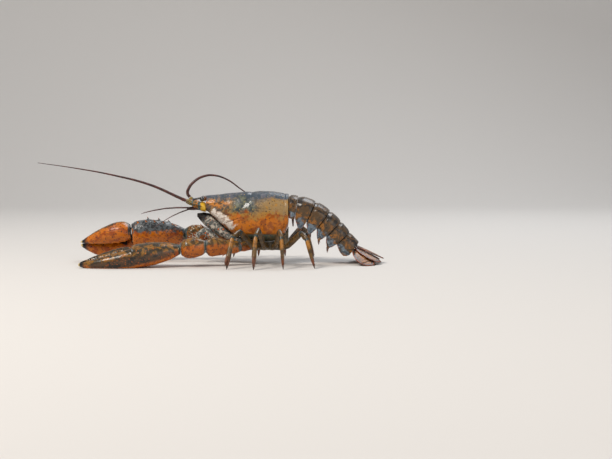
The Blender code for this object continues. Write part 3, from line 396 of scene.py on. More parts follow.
def carapace_colour(tree):
    along, _, up = place_in(tree, SOCKET, CARAPACE)
    ragged = wander(tree, 0.34, 75.0, 7.0, 0.68)
    height = reckoned(tree, "ADD", up, ragged)
    length = reckoned(tree, "ADD", along, ragged)
    flank = mottled(tree, AMBER, DEEP_AMBER, INK, 9, 0.50, 2.2, 0.26)
    border = mottled(tree, HONEY, DEEP_AMBER, INK, 5, 0.50, 1.9, 0.34)
    side = mottled(tree, KHAKI, UMBER, INK, 5, 0.58, 1.9, 0.42)
    rear = mottled(tree, HONEY, KHAKI, INK, 5, 0.7, 1.7, 0.40)
    neck = mottled(tree, GREEN_BLUE, (0.040, 0.050, 0.050), GOLD, 4, 0.60, 2.4, 0.42)
    back = mottled(tree, SLATE, STEEL, (0.42, 0.28, 0.10), 5, 0.62, 1.8, 0.34)
    cheek = mottled(tree, (0.32, 0.155, 0.050), (0.085, 0.070, 0.060), INK, 5, 0.56, 1.6, 0.40)
    streak = mottled(tree, (0.48, 0.170, 0.020), UMBER, INK, 6, 0.40, 1.7, 0.25)
    upper = faded(tree, length, 0.58, 0.76, side, rear)
    near_neck = stepped(tree, length, 0.26, 0.38)
    in_neck = reckoned(tree, "MULTIPLY", near_neck, stepped(tree, length, 0.66, 0.54))
    upper = mixed(tree, in_neck, upper, neck)
    near_eye = stepped(tree, length, 0.34, 0.20)
    in_cheek = reckoned(tree, "MULTIPLY", near_eye, stepped(tree, height, 0.36, 0.44))
    upper = mixed(tree, in_cheek, upper, cheek)
    from_streak = reckoned(tree, "ABSOLUTE", reckoned(tree, "SUBTRACT", height, 0.475))
    in_streak = reckoned(tree, "MULTIPLY", near_eye, stepped(tree, from_streak, 0.045, 0.020))
    upper = mixed(tree, in_streak, upper, streak)
    upper = faded(tree, height, 0.40, 0.33, upper, border)
    colour = faded(tree, height, 0.34, 0.25, upper, flank)
    colour = faded(tree, height, 0.50, 0.57, colour, back)
    rim = mottled(tree, (0.060, 0.078, 0.058), (0.13, 0.095, 0.04), INK, 5, 0.50, 2.0, 0.35)
    colour = faded(tree, up, 0.112, 0.092, colour, rim)
    snout = mottled(tree, (0.17, 0.105, 0.040), STEEL, INK, 4, 0.55, 1.6, 0.35)
    colour = faded(tree, along, -0.01, -0.04, colour, snout)
    colour = mixed(tree, number(tree, "spot"), colour, (0.50, 0.13, 0.012))
    colour = mixed(tree, number(tree, "red"), colour, SPINE_RED)
    # the pale cheek patch: limy crust whose white ground and pale specks are partly painted glare
    crust_and_glare_colour = mottled(tree, CRUST_AND_GLARE, (0.46, 0.35, 0.28), (0.88, 0.85, 0.80), 3, 0.45, 1.4, 0.5)
    return mixed(tree, number(tree, "crust_and_glare"), colour, crust_and_glare_colour)


def on_carapace(point):
    return (point.x - SOCKET.x) / CARAPACE, (point.z - SOCKET.z) / CARAPACE


def lumps(point, size):
    """1 on top of each grain of a crowded field and 0 between the grains."""
    return max(0.0, 1 - 2.2 * noise.voronoi(point / size)[0][0])


def crust_and_glare_at(point):
    """1 on a pale lumpy patch along the front edge of the left cheek: a limy crust whose white is partly
    painted glare.
    """
    along, up = on_carapace(point)
    band = groove(up - 0.372 + 0.62 * (along - 0.05), 0.125) * groove(along - 0.20, 0.25) * (point.y < 0)
    patchy = 0.36 * grain(point, 5 * MM) + 0.24 * grain(point, 1.4 * MM)
    return min(1.0, max(0.0, 4.0 * (band + patchy - 0.36)))


def carapace_form(point, normal):
    along, up = on_carapace(point)
    rise = 0.22 * MM * grain(point, 9 * MM) + 0.07 * MM * grain(point, 2.5 * MM)
    rise -= 0.12 * MM * pits(point, 2.1 * MM) * (0.4 + 0.6 * min(1, max(0, up / 0.5)))
    # the thick rim along the lower edge, the middle seam of the back and the rear rim
    if 0.18 < along < 1 and normal.z < 0.55:
        rise -= 0.45 * MM * groove(up - 0.095, 0.022)
    if up > 0.4 and along > 0.02:
        rise -= 0.22 * MM * groove(point.y / CARAPACE, 0.007)
    rise -= 0.5 * MM * groove(along - 0.955, 0.014) * (up > 0.12)
    # side grooves that branch from the neck groove, and the ridge behind each eye
    if abs(normal.y) > 0.3:
        branch = up - 0.30 - 0.35 * (along - 0.42)
        rise -= 0.55 * MM * groove(branch, 0.016) * groove(along - 0.34, 0.16)
        rise += 0.5 * MM * groove(up - 0.475 - 0.1 * along, 0.020) * groove(along - 0.12, 0.13)
        rise -= 0.3 * MM * groove(up - 0.44 + 0.05 * along, 0.014) * groove(along - 0.78, 0.20)
    # the hollow that each eye sits in, with a raised rim that ends above the antenna base
    if normal.x < -0.5 and along < 0.03:
        above_eye = point.z - SOCKET.z - EYE_UP
        from_eye = math.hypot(abs(point.y) - EYE_OUT, above_eye)
        rim = 0.4 * MM * min(1.0, max(0.0, (above_eye + RIM_END) / (2.0 * MM)))
        rise += -1.6 * MM * groove(from_eye, 5.6 * MM) + rim * groove(from_eye - 6.2 * MM, 1.4 * MM)
        if above_eye < -RIM_END:
            rise = min(rise, 0.0)
    # the middle of the underside keeps clear of the mouth and the sternum
    if abs(point.y) < 8 * MM and normal.z < 0:
        rise = min(rise, 0.0)
    # lumps under the pale cheek patch, which is limy crust with painted glare in its colour
    crust_and_glare = crust_and_glare_at(point)
    if crust_and_glare > 0:
        rise += crust_and_glare * MM * (0.18 + 0.5 * lumps(point, 1.7 * MM) + 0.15 * lumps(point, 0.8 * MM))
    return rise


carapace = fine_copy("carapace", "carapace_shell", 0.5 * MM, 120)
spots = [(0.393, 0.325, 0.032), (-0.20, 0.50, 0.022)]
places = points_of(carapace)
# where the pale cheek patch goes: limy crust and painted glare
paint(carapace, "crust_and_glare", [crust_and_glare_at(Vector(place)) for place in places])
along = (places[:, 0] - SOCKET.x) / CARAPACE
up = (places[:, 2] - SOCKET.z) / CARAPACE
wide = np.abs(places[:, 1]) / CARAPACE
spot = sum(np.clip(2 - 2 * np.hypot(along - x, up - z) / size, 0, 1) for x, z, size in spots)
paint(carapace, "spot", np.clip(spot, 0, 1))
beside_blade = np.clip((wide - 0.012 - 0.19 * (0.345 + along)) / 0.008, 0, 1) * (along < -0.04)
at_tip = np.clip((-0.285 - along) / 0.03, 0, 1)
around_eye = (along > -0.04) * (along < 0.13) * (up > 0.40) * (normals_of(carapace)[:, 0] > -0.9)
thorn = np.clip((read(carapace, "spine") - 0.45) / 0.35, 0, 1) * around_eye
paint(carapace, "red", np.clip(beside_blade + at_tip + thorn, 0, 1))
sculpt(carapace, carapace_form)
carapace.data.materials.append(shell_material("carapace_finish", carapace_colour))
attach(carapace, "root")
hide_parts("carapace")


# Sternum: the narrow floor of the thorax between the legs, of thin pale shell.
# Each pair of legs has its own cross-bar, parted by a shallow furrow.

sternum = fine_copy("sternum", "sternum_plate", 0.5 * MM, 20)


def sternum_form(point, normal):
    furrow = 0.5 - 0.5 * math.cos((point.x - SOCKET.x) / (0.1 * CARAPACE) * math.tau)
    return -0.8 * MM * furrow * max(0.0, -normal.z)


sculpt(sternum, sternum_form)
sternum_colour = plainly((0.20, 0.15, 0.085), (0.09, 0.075, 0.05), (0.30, 0.11, 0.02), 5, 0.5, 2.2, 0.3)
sternum.data.materials.append(shell_material("sternum_finish", sternum_colour))
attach(sternum, "root")
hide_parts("sternum")


# Jaws and maxillipeds: the mouth's block and the pair of feeding legs folded in front of it.
# They are pale, crusted shell with orange dots, and their inner edges carry combs of bristles.


def mouth_colour(tree):
    orange = (0.62, 0.12, 0.012)
    pale = mottled(tree, (0.56, 0.49, 0.40), (0.115, 0.125, 0.115), orange, 3.0, 0.58, 2.8, 0.30)
    where = surface(tree)
    grime = add(tree, "ShaderNodeTexNoise", Vector=where, Scale=260.0, Detail=5.0)
    dirty = faded(tree, grime.outputs["Fac"], 0.55, 0.68, pale, (0.060, 0.052, 0.044))
    dark = mottled(tree, (0.040, 0.032, 0.024), INK, (0.26, 0.10, 0.02), 3.0, 0.5, 2.0, 0.25)
    return mixed(tree, number(tree, "shade"), dirty, dark)


mouth_finish = shell_material("mouth_finish", mouth_colour, pore_mm=1.0, bump=0.6, coat=0.05, rougher=0.25)


def jaw_form(point, normal):
    aside = abs(point.y) / MM
    furrows = groove(aside - 2.6, 0.6) + groove(aside - 5.6, 0.6) + groove(aside, 0.5)
    rise = -0.9 * MM * furrows * (normal.z < 0.5)
    cross = math.sin((point.x - point.z) / (2.2 * MM))
    return rise + 0.25 * MM * cross * (aside > 2.6) + 0.15 * MM * grain(point, 1.5 * MM)


def feeding_leg_form(point, normal):
    return 0.22 * MM * grain(point, 2.2 * MM) + 0.20 * MM * lumps(point, 1.5 * MM)


def bristle_mesh(name, hairs, sides=3):
    """One mesh of many tapered hairs, each given as (root, tip, radius, sag)."""
    mesh = bmesh.new()
    for root, end, radius, sag in hairs:
        along = (end - root).normalized()
        first = along.cross(Vector((0.3, 0.2, 0.9))).normalized()
        second = along.cross(first)
        rows = []
        for share, thick in ((0.0, 1.0), (0.55, 0.7)):
            centre = root.lerp(end, share) + Vector((0, 0, -sag * share * share))
            rows.append(
                [
                    mesh.verts.new(centre + (first * math.cos(a) + second * math.sin(a)) * radius * thick)
                    for a in (math.tau * k / sides for k in range(sides))
                ]
            )
        point = mesh.verts.new(end + Vector((0, 0, -sag)))
        for k in range(sides):
            mesh.faces.new((rows[0][k - 1], rows[0][k], rows[1][k], rows[1][k - 1]))
            mesh.faces.new((rows[1][k - 1], rows[1][k], point))
        mesh.faces.new(rows[0])
    bmesh.ops.recalc_face_normals(mesh, faces=mesh.faces)
    data = bpy.data.meshes.new(name)
    mesh.to_mesh(data)
    mesh.free()
    data.shade_smooth()
    return linked(bpy.data.objects.new(name, data))


comb_colour = plainly((0.34, 0.22, 0.10), (0.16, 0.09, 0.04), (0.50, 0.40, 0.26), 3, 0.5, 1.0, 0.3)
comb_finish = shell_material("comb_finish", comb_colour, bump=0.1, coat=0.0, rougher=0.2)

random.seed(3)
for node, form, cell in (
    ("jaws", jaw_form, 0.38),
    ("maxilliped_left", feeding_leg_form, 0.32),
    ("maxilliped_right", feeding_leg_form, 0.32),
):
    part = fine_copy(node, node + "_shell", cell * MM, 40)
    sculpt(part, form)
    points = points_of(part)
    ahead = (SOCKET.x - points[:, 0]) / MM
    above = (points[:, 2] - SOCKET.z) / MM
    paint(part, "shade", np.clip((ahead + above - 22) / 8, 0, 1) * (node == "jaws"))
    part.data.materials.append(mouth_finish)
    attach(part, "root")
    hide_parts(node)
    if node != "jaws":
        inwards = 1 if node.endswith("left") else -1
        hairs = []
        for vertex in random.sample(list(part.data.vertices), 9000):
            if vertex.normal.y * inwards > 0.15 and vertex.normal.z < 0.35 and len(hairs) < 420:
                out = (vertex.normal + Vector((-0.4, 0.25 * inwards, -0.9))).normalized()
                root = vertex.co - vertex.normal * 0.2 * MM
                hairs.append((root, root + out * random.uniform(1.4, 3.0) * MM, 0.06 * MM, 0.3 * MM))
        comb = bristle_mesh(node + "_comb", hairs)
        comb.data.materials.append(comb_finish)
        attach(comb, "root")


# Eyes: black, finely faceted corneas on short stalks beside the rostrum.
# A stalk is olive-brown skin with an orange rim where it meets the cornea.


def eye_colour(tree):
    cornea = number(tree, "cornea")
    stalk = mottled(tree, (0.24, 0.085, 0.012), UMBER, GOLD, 2, 0.5, 1.0, 0.2)
    ringed = faded(tree, cornea, 0.30, 0.42, stalk, (0.42, 0.14, 0.012))
    return faded(tree, cornea, 0.46, 0.54, ringed, (0.0035, 0.0035, 0.0045))


eye_finish = bpy.data.materials.new("eye_finish")
eye_finish.use_nodes = True
eye_tree = eye_finish.node_tree
eye_surface = eye_tree.nodes["Principled BSDF"]
eye_where = surface(eye_tree)
facets = add(eye_tree, "ShaderNodeTexVoronoi", Vector=eye_where, Scale=3800.0)
eye_bump = add(eye_tree, "ShaderNodeBump", Strength=0.15, Distance=0.05 * MM)
eye_tree.links.new(facets.outputs["Distance"], eye_bump.inputs["Height"])
eye_tree.links.new(eye_bump.outputs["Normal"], eye_surface.inputs["Normal"])
eye_tree.links.new(eye_colour(eye_tree), eye_surface.inputs["Base Color"])
eye_surface.inputs["Roughness"].default_value = 0.16
eye_surface.inputs["Coat Weight"].default_value = 1.0
eye_surface.inputs["Coat Roughness"].default_value = 0.04

for side in (LEFT, RIGHT):
    node = "eye_" + SIDE_NAME[side]
    low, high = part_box(node)
    eye = fine_copy(node, node + "_ball", 0.16 * MM, 30, crisp=0.5 * MM)
    beside = low.y + 2.8 * MM if side == LEFT else high.y - 2.8 * MM
    middle = Vector((low.x + 2.8 * MM, beside, (low.z + high.z) / 2))
    forward = Vector((-0.75, 0.62 * side, 0.22)).normalized()
    points = points_of(eye) - np.array(middle)
    paint(eye, "cornea", 0.5 + 0.5 * (points @ np.array(forward)) / (2.8 * MM) + 0.12)
    eye.data.materials.append(eye_finish)
    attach(eye, "root")
    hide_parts(node)


# Antenna bases: three stout segments and a pointed scale, turned forward beside the rostrum.
# The root segment is yellow, the next orange and the last olive, with teal joint skin between.


def base_colour(tree):
    ragged = wander(tree, 2.0, 300.0, 4.0)
    ahead = reckoned(tree, "ADD", number(tree, "ahead"), ragged)
    yellow = mottled(tree, (0.66, 0.38, 0.020), (0.44, 0.20, 0.02), (0.20, 0.07, 0.01), 4, 0.4, 1.6, 0.15)
    orange = mottled(tree, (0.42, 0.15, 0.012), (0.14, 0.09, 0.03), INK, 3, 0.5, 1.4, 0.25)
    olive = mottled(tree, (0.28, 0.19, 0.03), (0.11, 0.07, 0.02), INK, 3, 0.5, 1.4, 0.3)
    blue = mottled(tree, (0.05, 0.12, 0.14), TEAL, INK, 2, 0.5, 1.2, 0.2)
    colour = faded(tree, ahead, 6.4, 7.2, yellow, blue)
    colour = faded(tree, ahead, 9.2, 10.0, colour, orange)
    colour = faded(tree, ahead, 14.4, 15.0, colour, blue)
    colour = faded(tree, ahead, 15.8, 16.4, colour, olive)
    leaf = mottled(tree, (0.12, 0.075, 0.02), (0.05, 0.04, 0.02), (0.38, 0.10, 0.01), 3, 0.5, 1.5, 0.3)
    return faded(tree, number(tree, "leaf"), 0.4, 0.6, colour, leaf)


base_finish = shell_material("antenna_base_finish", base_colour, pore_mm=0.9, bump=0.3, coat=0.2)

for side in (LEFT, RIGHT):
    node = "antenna_base_" + SIDE_NAME[side]
    low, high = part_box(node)
    base = fine_copy(node, node + "_shell", 0.28 * MM, 25, crisp=0.7 * MM)
    points = points_of(base)
    paint(base, "ahead", (SOCKET.x - points[:, 0]) / MM)
    paint(base, "leaf", np.clip((np.abs(points[:, 1]) - 13.6 * MM) / (1.0 * MM), 0, 1))
    base.data.materials.append(base_finish)
    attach(base, "root")
    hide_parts(node)


# Antenna whips and antennules: bristles of hundreds of short rings, each a tiny tube of dark
# maroon shell. The long left whip points ahead and up, and the right one arches back.


def whip_colour(tree):
    dark = (0.030, 0.012, 0.010)
    return mottled(tree, (0.085, 0.022, 0.016), dark, (0.20, 0.07, 0.03), 6, 0.5, 1.6, 0.25)


whip_finish = shell_material("whip_finish", whip_colour, pore_mm=0.6, bump=0.25, coat=0.15, rougher=0.08)


def smooth_route(knots, step):
    """Points at even steps along a smooth curve through the knots."""
    curve = bpy.data.curves.new("route", "CURVE")
    curve.dimensions = "3D"
    curve.resolution_u = 24
    spline = curve.splines.new("BEZIER")
    spline.bezier_points.add(len(knots) - 1)
    for point, knot in zip(spline.bezier_points, knots):
        point.co = knot
        point.handle_left_type = point.handle_right_type = "AUTO"
    holder = linked(bpy.data.objects.new("route", curve))
    bpy.context.view_layer.update()
    traced = bpy.data.meshes.new_from_object(holder.evaluated_get(bpy.context.evaluated_depsgraph_get()))
    line = [vertex.co.copy() for vertex in traced.vertices]
    bpy.data.objects.remove(holder)
    route, spare = [line[0]], 0.0
    for start, stop in zip(line, line[1:]):
        length = (stop - start).length
        while spare + length >= step:
            start = start.lerp(stop, (step - spare) / length)
            route.append(start)
            length = (stop - start).length
            spare = 0.0
        spare += length
    return route


def ringed_bristle(name, knots, root_radius, tip_radius, ring):
    """A tapered tube whose rings show as fine swellings, one for each ring's length."""
    route = smooth_route(knots, ring / 2)
    curve = bpy.data.curves.new(name, "CURVE")
    curve.dimensions = "3D"
    curve.bevel_depth = 1
    curve.bevel_resolution = 2
    curve.use_fill_caps = True
    spline = curve.splines.new("POLY")
    spline.points.add(len(route) - 1)
    for k, (point, place) in enumerate(zip(spline.points, route)):
        share = k / (len(route) - 1)
        point.co = (*place, 1)
        thickness = tip_radius + (root_radius - tip_radius) * (1 - share) ** 1.2
        point.radius = thickness * (1.0 if k % 2 else 0.92)
    select_only(linked(bpy.data.objects.new(name, curve)))
    bpy.ops.object.convert(target="MESH")
    made = bpy.context.view_layer.objects.active
    made.data.shade_smooth()
    return made


SHIFT = SOCKET.x
BELLY = SOCKET.z
WHIP_KNOTS = {
    LEFT: (
        (-22.3, -9.6, 44.5),
        (-28, -9.9, 47),
        (-60, -14, 61.5),
        (-100, -22, 72.5),
        (-138, -31, 80),
        (-176, -42, 86),
    ),
    RIGHT: (
        (-19.8, 10.4, 47.3),
        (-22.2, 10.5, 51.0),
        (-21.4, 10.6, 56),
        (-14.8, 12.5, 64.5),
        (-4.5, 16, 70),
        (6, 20, 70.8),
        (20, 26, 66),
        (35, 33, 55),
        (52, 42, 43),
        (70, 52, 33),
    ),
}
for side, knots in WHIP_KNOTS.items():
    node = "antenna_whip_" + SIDE_NAME[side]
    places = [Vector((SHIFT + x * MM, y * MM, BELLY + z * MM)) for x, y, z in knots]
    bristle = ringed_bristle(node + "_bristle", places, 1.85 * MM, 0.3 * MM, 1.1 * MM)
    bristle.data.materials.append(whip_finish)
    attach(bristle, "root")
    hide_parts(node)

for side in (LEFT, RIGHT):
    node = "antennule_" + SIDE_NAME[side]
    stem = fine_copy(node, node + "_stem", 0.25 * MM, 8, crisp=0.4 * MM, corner=58)
    stem.data.materials.append(whip_finish)
    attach(stem, "root")
    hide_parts(node)


# Arms and claws: the heavy crusher on the right and the slimmer cutter on the left.
# Thick amber shell below and olive above, with black specks, red spine tips and ivory teeth.


def limb_colour(tree, above, below, rim):
    """Olive to amber by the way the shell faces, dark joints and red spine tips."""
    ragged = wander(tree, 1.8, 120.0, 5.0, 0.65)
    facing = reckoned(tree, "ADD", number(tree, "top"), ragged)
    colour = faded(tree, facing, -0.05, 0.35, below, above)
    ends = reckoned(tree, "ADD", number(tree, "joint"), reckoned(tree, "MULTIPLY", ragged, 0.3))
    colour = faded(tree, ends, 0.45, 0.75, colour, rim)
    return faded(tree, number(tree, "horn"), 0.45, 0.85, colour, SPINE_RED)


def arm_colour(tree):
    above = mottled(tree, (0.26, 0.120, 0.020), (0.075, 0.042, 0.014), INK, 5, 0.58, 2.0, 0.42)
    below = mottled(tree, (0.43, 0.108, 0.004), (0.24, 0.052, 0.004), INK, 5, 0.45, 1.9, 0.55)
    rim = mottled(tree, TEAL, (0.11, 0.13, 0.14), INK, 3, 0.5, 1.8, 0.35)
    colour = limb_colour(tree, above, below, rim)
    # pale beads on the wrist: raised knobs whose cream colour is partly painted glints of wet highlights
    return faded(tree, number(tree, "bead_and_glint"), 0.25, 0.45, colour, (0.66, 0.60, 0.50))


def claw_colour(tree):
    orange = (0.42, 0.11, 0.008)
    above = mottled(tree, (0.24, 0.105, 0.014), (0.040, 0.028, 0.014), orange, 8, 0.60, 2.4, 0.38)
    below = mottled(tree, (0.51, 0.133, 0.003), (0.30, 0.058, 0.003), INK, 8, 0.45, 2.0, 0.55)
    rim = mottled(tree, TEAL, INK, (0.45, 0.38, 0.22), 3, 0.5, 2.0, 0.3)
    colour = limb_colour(tree, above, below, rim)
    slate = mottled(tree, (0.095, 0.105, 0.110), (0.03, 0.03, 0.03), INK, 4, 0.50, 2.0, 0.45)
    ragged = wander(tree, 1.3, 130.0, 6.0, 0.68)
    edge = reckoned(tree, "ADD", number(tree, "edge"), ragged)
    colour = faded(tree, edge, 0.56, 0.74, colour, slate)
    dark = mottled(
        tree, (0.075, 0.036, 0.014), (0.018, 0.014, 0.011), (0.30, 0.07, 0.008), 6, 0.5, 2.2, 0.35
    )
    for name, start, stop, layer in (
        ("keel", 0.80, 0.97, dark),
        # a near-black line where the fingers close: painted shadow in the gap between them
        ("bite", 0.35, 0.75, (0.012, 0.009, 0.008)),
        ("skin", 0.35, 0.65, (0.030, 0.022, 0.018)),
        ("pivot", 0.45, 0.60, (0.62, 0.36, 0.12)),
        ("tooth", 0.30, 0.60, (0.55, 0.44, 0.28)),
        ("horn", 0.45, 0.85, SPINE_RED),
        ("tip", 0.90, 0.95, INK),
        ("tip", 0.962, 0.975, (0.62, 0.46, 0.18)),
    ):
        colour = faded(tree, number(tree, name), start, stop, colour, layer)
    return colour


arm_finish = shell_material("arm_finish", arm_colour, pore_mm=1.2, bump=0.35, coat=0.15)
claw_finish = shell_material("claw_finish", claw_colour, pore_mm=1.4, bump=0.4, coat=0.15)

CLAW_ROLL = {LEFT: 12, RIGHT: 50}  # how far each claw's inner edge is turned up
PIVOT_OUT = {LEFT: 0.076, RIGHT: 0.090}  # pivots of the moving finger, as shares of the claw


def far_point(node, way):
    """The corner of a node that reaches farthest in a direction."""
    corners = [vertex.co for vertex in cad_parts[node].data.vertices]
    return max(corners, key=lambda corner: corner.dot(way)).copy()


def rough_shell(point, size):
    """Low bumps of a thick shell, with scattered pits."""
    bumps = 0.16 * MM * grain(point, 6 * MM) + 0.08 * MM * grain(point, 2 * MM)
    return bumps - 0.14 * MM * pits(point, size)


for side in (LEFT, RIGHT):
    word = SIDE_NAME[side]
    for part in ("arm_base", "arm_merus", "arm_carpus"):
        node = f"{part}_{word}"
        low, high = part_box(node)
        segment = fine_copy(node, node + "_shell", 0.42 * MM, 40)
        points, normals = points_of(segment), normals_of(segment)
        ends = np.abs(points[:, 0] - (low.x + high.x) / 2) / ((high.x - low.x) / 2)
        inner = np.clip(-side * normals[:, 1] + 0.4 * normals[:, 2], 0, 1)
        grains = np.array([lumps(Vector(point), 2.3 * MM) for point in points])
        # pale beads on the inner side of the wrist: raised knobs, coloured cream as painted glints of wet
        # highlights
        beads_and_glints = grains * (inner > 0.5) * (ends < 0.7) * (part == "arm_carpus")
        paint(segment, "bead_and_glint", beads_and_glints)
        paint(segment, "top", normals[:, 2])
        paint(segment, "joint", np.clip((ends - 0.60) / 0.4, 0, 1))
        paint(segment, "horn", read(segment, "spine") * np.clip(1.7 - ends * 1.1, 0, 1) * (ends < 0.86))
        sculpt(segment, lambda point, normal: min(0.12 * MM, rough_shell(point, 2.4 * MM)))
        normals = normals_of(segment)
        raised = points_of(segment) + normals * (0.35 * MM * np.clip(beads_and_glints * 2, 0, 1))[:, None]
        segment.data.vertices.foreach_set("co", raised.ravel())
        segment.data.materials.append(arm_finish)
        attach(segment, "root")
        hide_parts(node)

    palm_node, finger_node = f"claw_palm_{word}", f"claw_finger_{word}"
    hinge = 0.50 if side == RIGHT else 0.46
    wrist = far_point(palm_node, Vector((1, 0, 0)))
    tip = far_point(palm_node, Vector((-1, 0, 0)))
    way = (tip - wrist).normalized()
    across = way.cross(Vector((0, 0, 1))).normalized()
    crest = across.cross(way)
    turn = math.radians(CLAW_ROLL[side])
    inner = across * -side * math.cos(turn) + crest * math.sin(turn)
    upper_face = crest * math.cos(turn) + across * side * math.sin(turn)
    length = (tip - wrist).length
    # the two pivots that the moving finger turns on, one on each face of the palm
    pivots = []
    for face in (upper_face, -upper_face):
        pivots.append(wrist + (way * (hinge - 0.004) + inner * 0.088 + face * PIVOT_OUT[side]) * length)
    for node in (palm_node, finger_node):
        piece = fine_copy(node, node + "_shell", 0.46 * MM, 90)
        moving = node == finger_node

        def claw_form(point, normal):
            rise = rough_shell(point, 2.6 * MM)
            share = (point - wrist).dot(way) / length
            inward = normal.dot(inner)
            # rows of low knobs along the inner edge, teeth on the moving finger and two furrows
            rise += 0.45 * MM * lumps(point, 3.4 * MM) * max(0.0, inward - 0.25) * (share < hinge)
            if moving and inward < -0.45 and share > hinge + 0.05:
                rise += 0.45 * MM * max(0.0, math.sin(share * length / (1.15 * MM)))
            if share > hinge + 0.04:
                offset = (point - wrist).dot(inner) / length
                from_furrow = offset - (0.10 if moving else -0.10) * (1.4 - share)
                rise -= 0.30 * MM * abs(normal.dot(upper_face)) * groove(from_furrow, 0.016)
            # a collar round the socket and a knuckle at each pivot
            if inward > -0.2 and not moving:
                rise += 0.35 * MM * groove(share - hinge + 0.035, 0.018)
            nearest = min((point - pivot).length for pivot in pivots)
            return rise + 0.7 * MM * groove(nearest, 3.2 * MM)

        points, normals = points_of(piece), normals_of(piece)
        share = measured(points, wrist, way) / length
        offset = measured(points, wrist, inner) / length
        inward = normals @ np.array(inner)
        standing = read(piece, "spine")
        clear = np.clip((np.abs(share - hinge) - 0.02) / 0.02, 0, 1) * (share > 0.04)
        beyond = np.clip((share - hinge - 0.03) / 0.03, 0, 1)
        facing_bite = np.clip((-inward if moving else inward) * 2 - 0.4, 0, 1)
        paint(piece, "top", normals @ np.array(upper_face))
        paint(piece, "joint", np.clip((0.05 - share) / 0.05, 0, 1))
        paint(piece, "tip", share)
        paint(piece, "edge", np.clip(inward, 0, 1) * np.clip((hinge + 0.08 - share) / 0.10, 0, 1))
        paint(piece, "keel", np.clip(-inward, 0, 1) * (0 if moving else 1))
        # the band along the line where the two fingers meet, painted near black as shadow in the gap
        paint(piece, "bite", np.clip(1.6 - np.abs(offset - 0.012) / 0.012, 0, 1) * beyond * (share < 0.97))
        paint(piece, "tooth", facing_bite * beyond * (standing if not moving else 0.0))
        outer_rows = standing * clear * np.clip(inward * 2 + 0.4, 0, 1) * (offset > 0.06)
        paint(piece, "horn", outer_rows)
        facing_joint = np.clip((normals @ np.array(way)) * (-1 if moving else 1) - 0.25, 0, 1) * 2
        paint(piece, "skin", facing_joint * (np.abs(share - hinge) < 0.03) * (offset > 0.03))
        from_pivots = [np.linalg.norm(points - np.array(pivot), axis=1) for pivot in pivots]
        paint(piece, "pivot", np.clip(1 - np.minimum(*from_pivots) / (3.6 * MM), 0, 1))
        sculpt(piece, claw_form)
        piece.data.materials.append(claw_finish)
        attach(piece, "root")
        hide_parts(node)


# Walking legs: four pairs of slim jointed tubes, two pairs with little pincers.
# Olive-brown shell with an ochre band below each knee, and dark, bristly finger tips.


def leg_colour(tree):
    ground = mottled(tree, (0.135, 0.072, 0.020), (0.055, 0.034, 0.014), INK, 5, 0.5, 1.8, 0.3)
    band = mottled(tree, (0.36, 0.150, 0.022), (0.19, 0.080, 0.016), UMBER, 4, 0.45, 1.4, 0.25)
    ragged = wander(tree, 0.10, 260.0, 3.0)
    far = reckoned(tree, "ADD", number(tree, "reach"), ragged)
    in_band = reckoned(tree, "MULTIPLY", stepped(tree, far, 1.32, 1.36), stepped(tree, far, 1.58, 1.50))
    colour = mixed(tree, in_band, ground, band)
    colour = faded(tree, far, 1.70, 1.84, colour, (0.16, 0.045, 0.014))
    colour = faded(tree, far, 1.86, 1.97, colour, (0.030, 0.016, 0.010))
    for joint, reach in ((1.0, 0.05), (1.295, 0.028)):
        away = reckoned(tree, "ABSOLUTE", reckoned(tree, "SUBTRACT", far, joint))
        colour = mixed(tree, stepped(tree, away, reach * 1.6, reach * 0.7), colour, (0.030, 0.045, 0.045))
    return colour


def leg_form(point, normal):
    return 0.07 * MM * grain(point, 3 * MM) - 0.06 * MM * pits(point, 1.6 * MM)


leg_finish = shell_material("leg_finish", leg_colour, pore_mm=0.9, bump=0.3, coat=0.15)


def bristle_colour(tree):
    dark = (0.07, 0.025, 0.012)
    return mottled(tree, (0.16, 0.055, 0.020), dark, (0.30, 0.16, 0.06), 3, 0.5, 1.0, 0.3)


bristle_finish = shell_material("bristle_finish", bristle_colour, bump=0.1, coat=0.0, rougher=0.2)

random.seed(7)
for side in (LEFT, RIGHT):
    word = SIDE_NAME[side]
    for number_of_leg in (1, 2, 3, 4):
        hip = far_point(f"leg_{number_of_leg}_{word}_upper", Vector((0, -side, 0)))
        knee = far_point(f"leg_{number_of_leg}_{word}_upper", Vector((0, side * 0.7, 0.7)))
        foot = far_point(f"leg_{number_of_leg}_{word}_lower", Vector((0, side * 0.4, -1)))
        for half, start, stop, offset in (("upper", hip, knee, 0), ("lower", knee, foot, 1)):
            node = f"leg_{number_of_leg}_{word}_{half}"
            piece = fine_copy(node, node + "_shell", 0.38 * MM, 26, crisp=0.8 * MM, corner=58)
            sculpt(piece, leg_form)
            run = stop - start
            share = measured(points_of(piece), start, run) / run.length_squared
            paint(piece, "reach", offset + np.clip(share, 0, 1))
            piece.data.materials.append(leg_finish)
            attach(piece, "root")
            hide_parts(node)
        hairs = []
        for vertex in random.sample(list(piece.data.vertices), 1200):
            if 1.5 * MM < vertex.co.z < 0.36 * knee.z and len(hairs) < 110:
                out = (vertex.normal + (foot - knee).normalized() * 1.1).normalized()
                end = vertex.co + out * random.uniform(0.8, 1.7) * MM
                hairs.append((vertex.co.copy(), end, 0.06 * MM, 0.0))
        hairs = [hair for hair in hairs if hair[1].z > 0.2 * MM]
        tuft = bristle_mesh(f"leg_{number_of_leg}_{word}_bristles", hairs)
        tuft.data.materials.append(bristle_finish)
        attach(tuft, "root")


# Abdomen: six arched plates that slide under one another, with side flaps that point back.
# Near-black brown shell with blue-grey patches on the flaps and rust-orange edges.

TAIL_PITCH = {1: 3, 2: 13, 3: 28, 4: 38, 5: 45, 6: 44}  # degrees that each plate slopes down


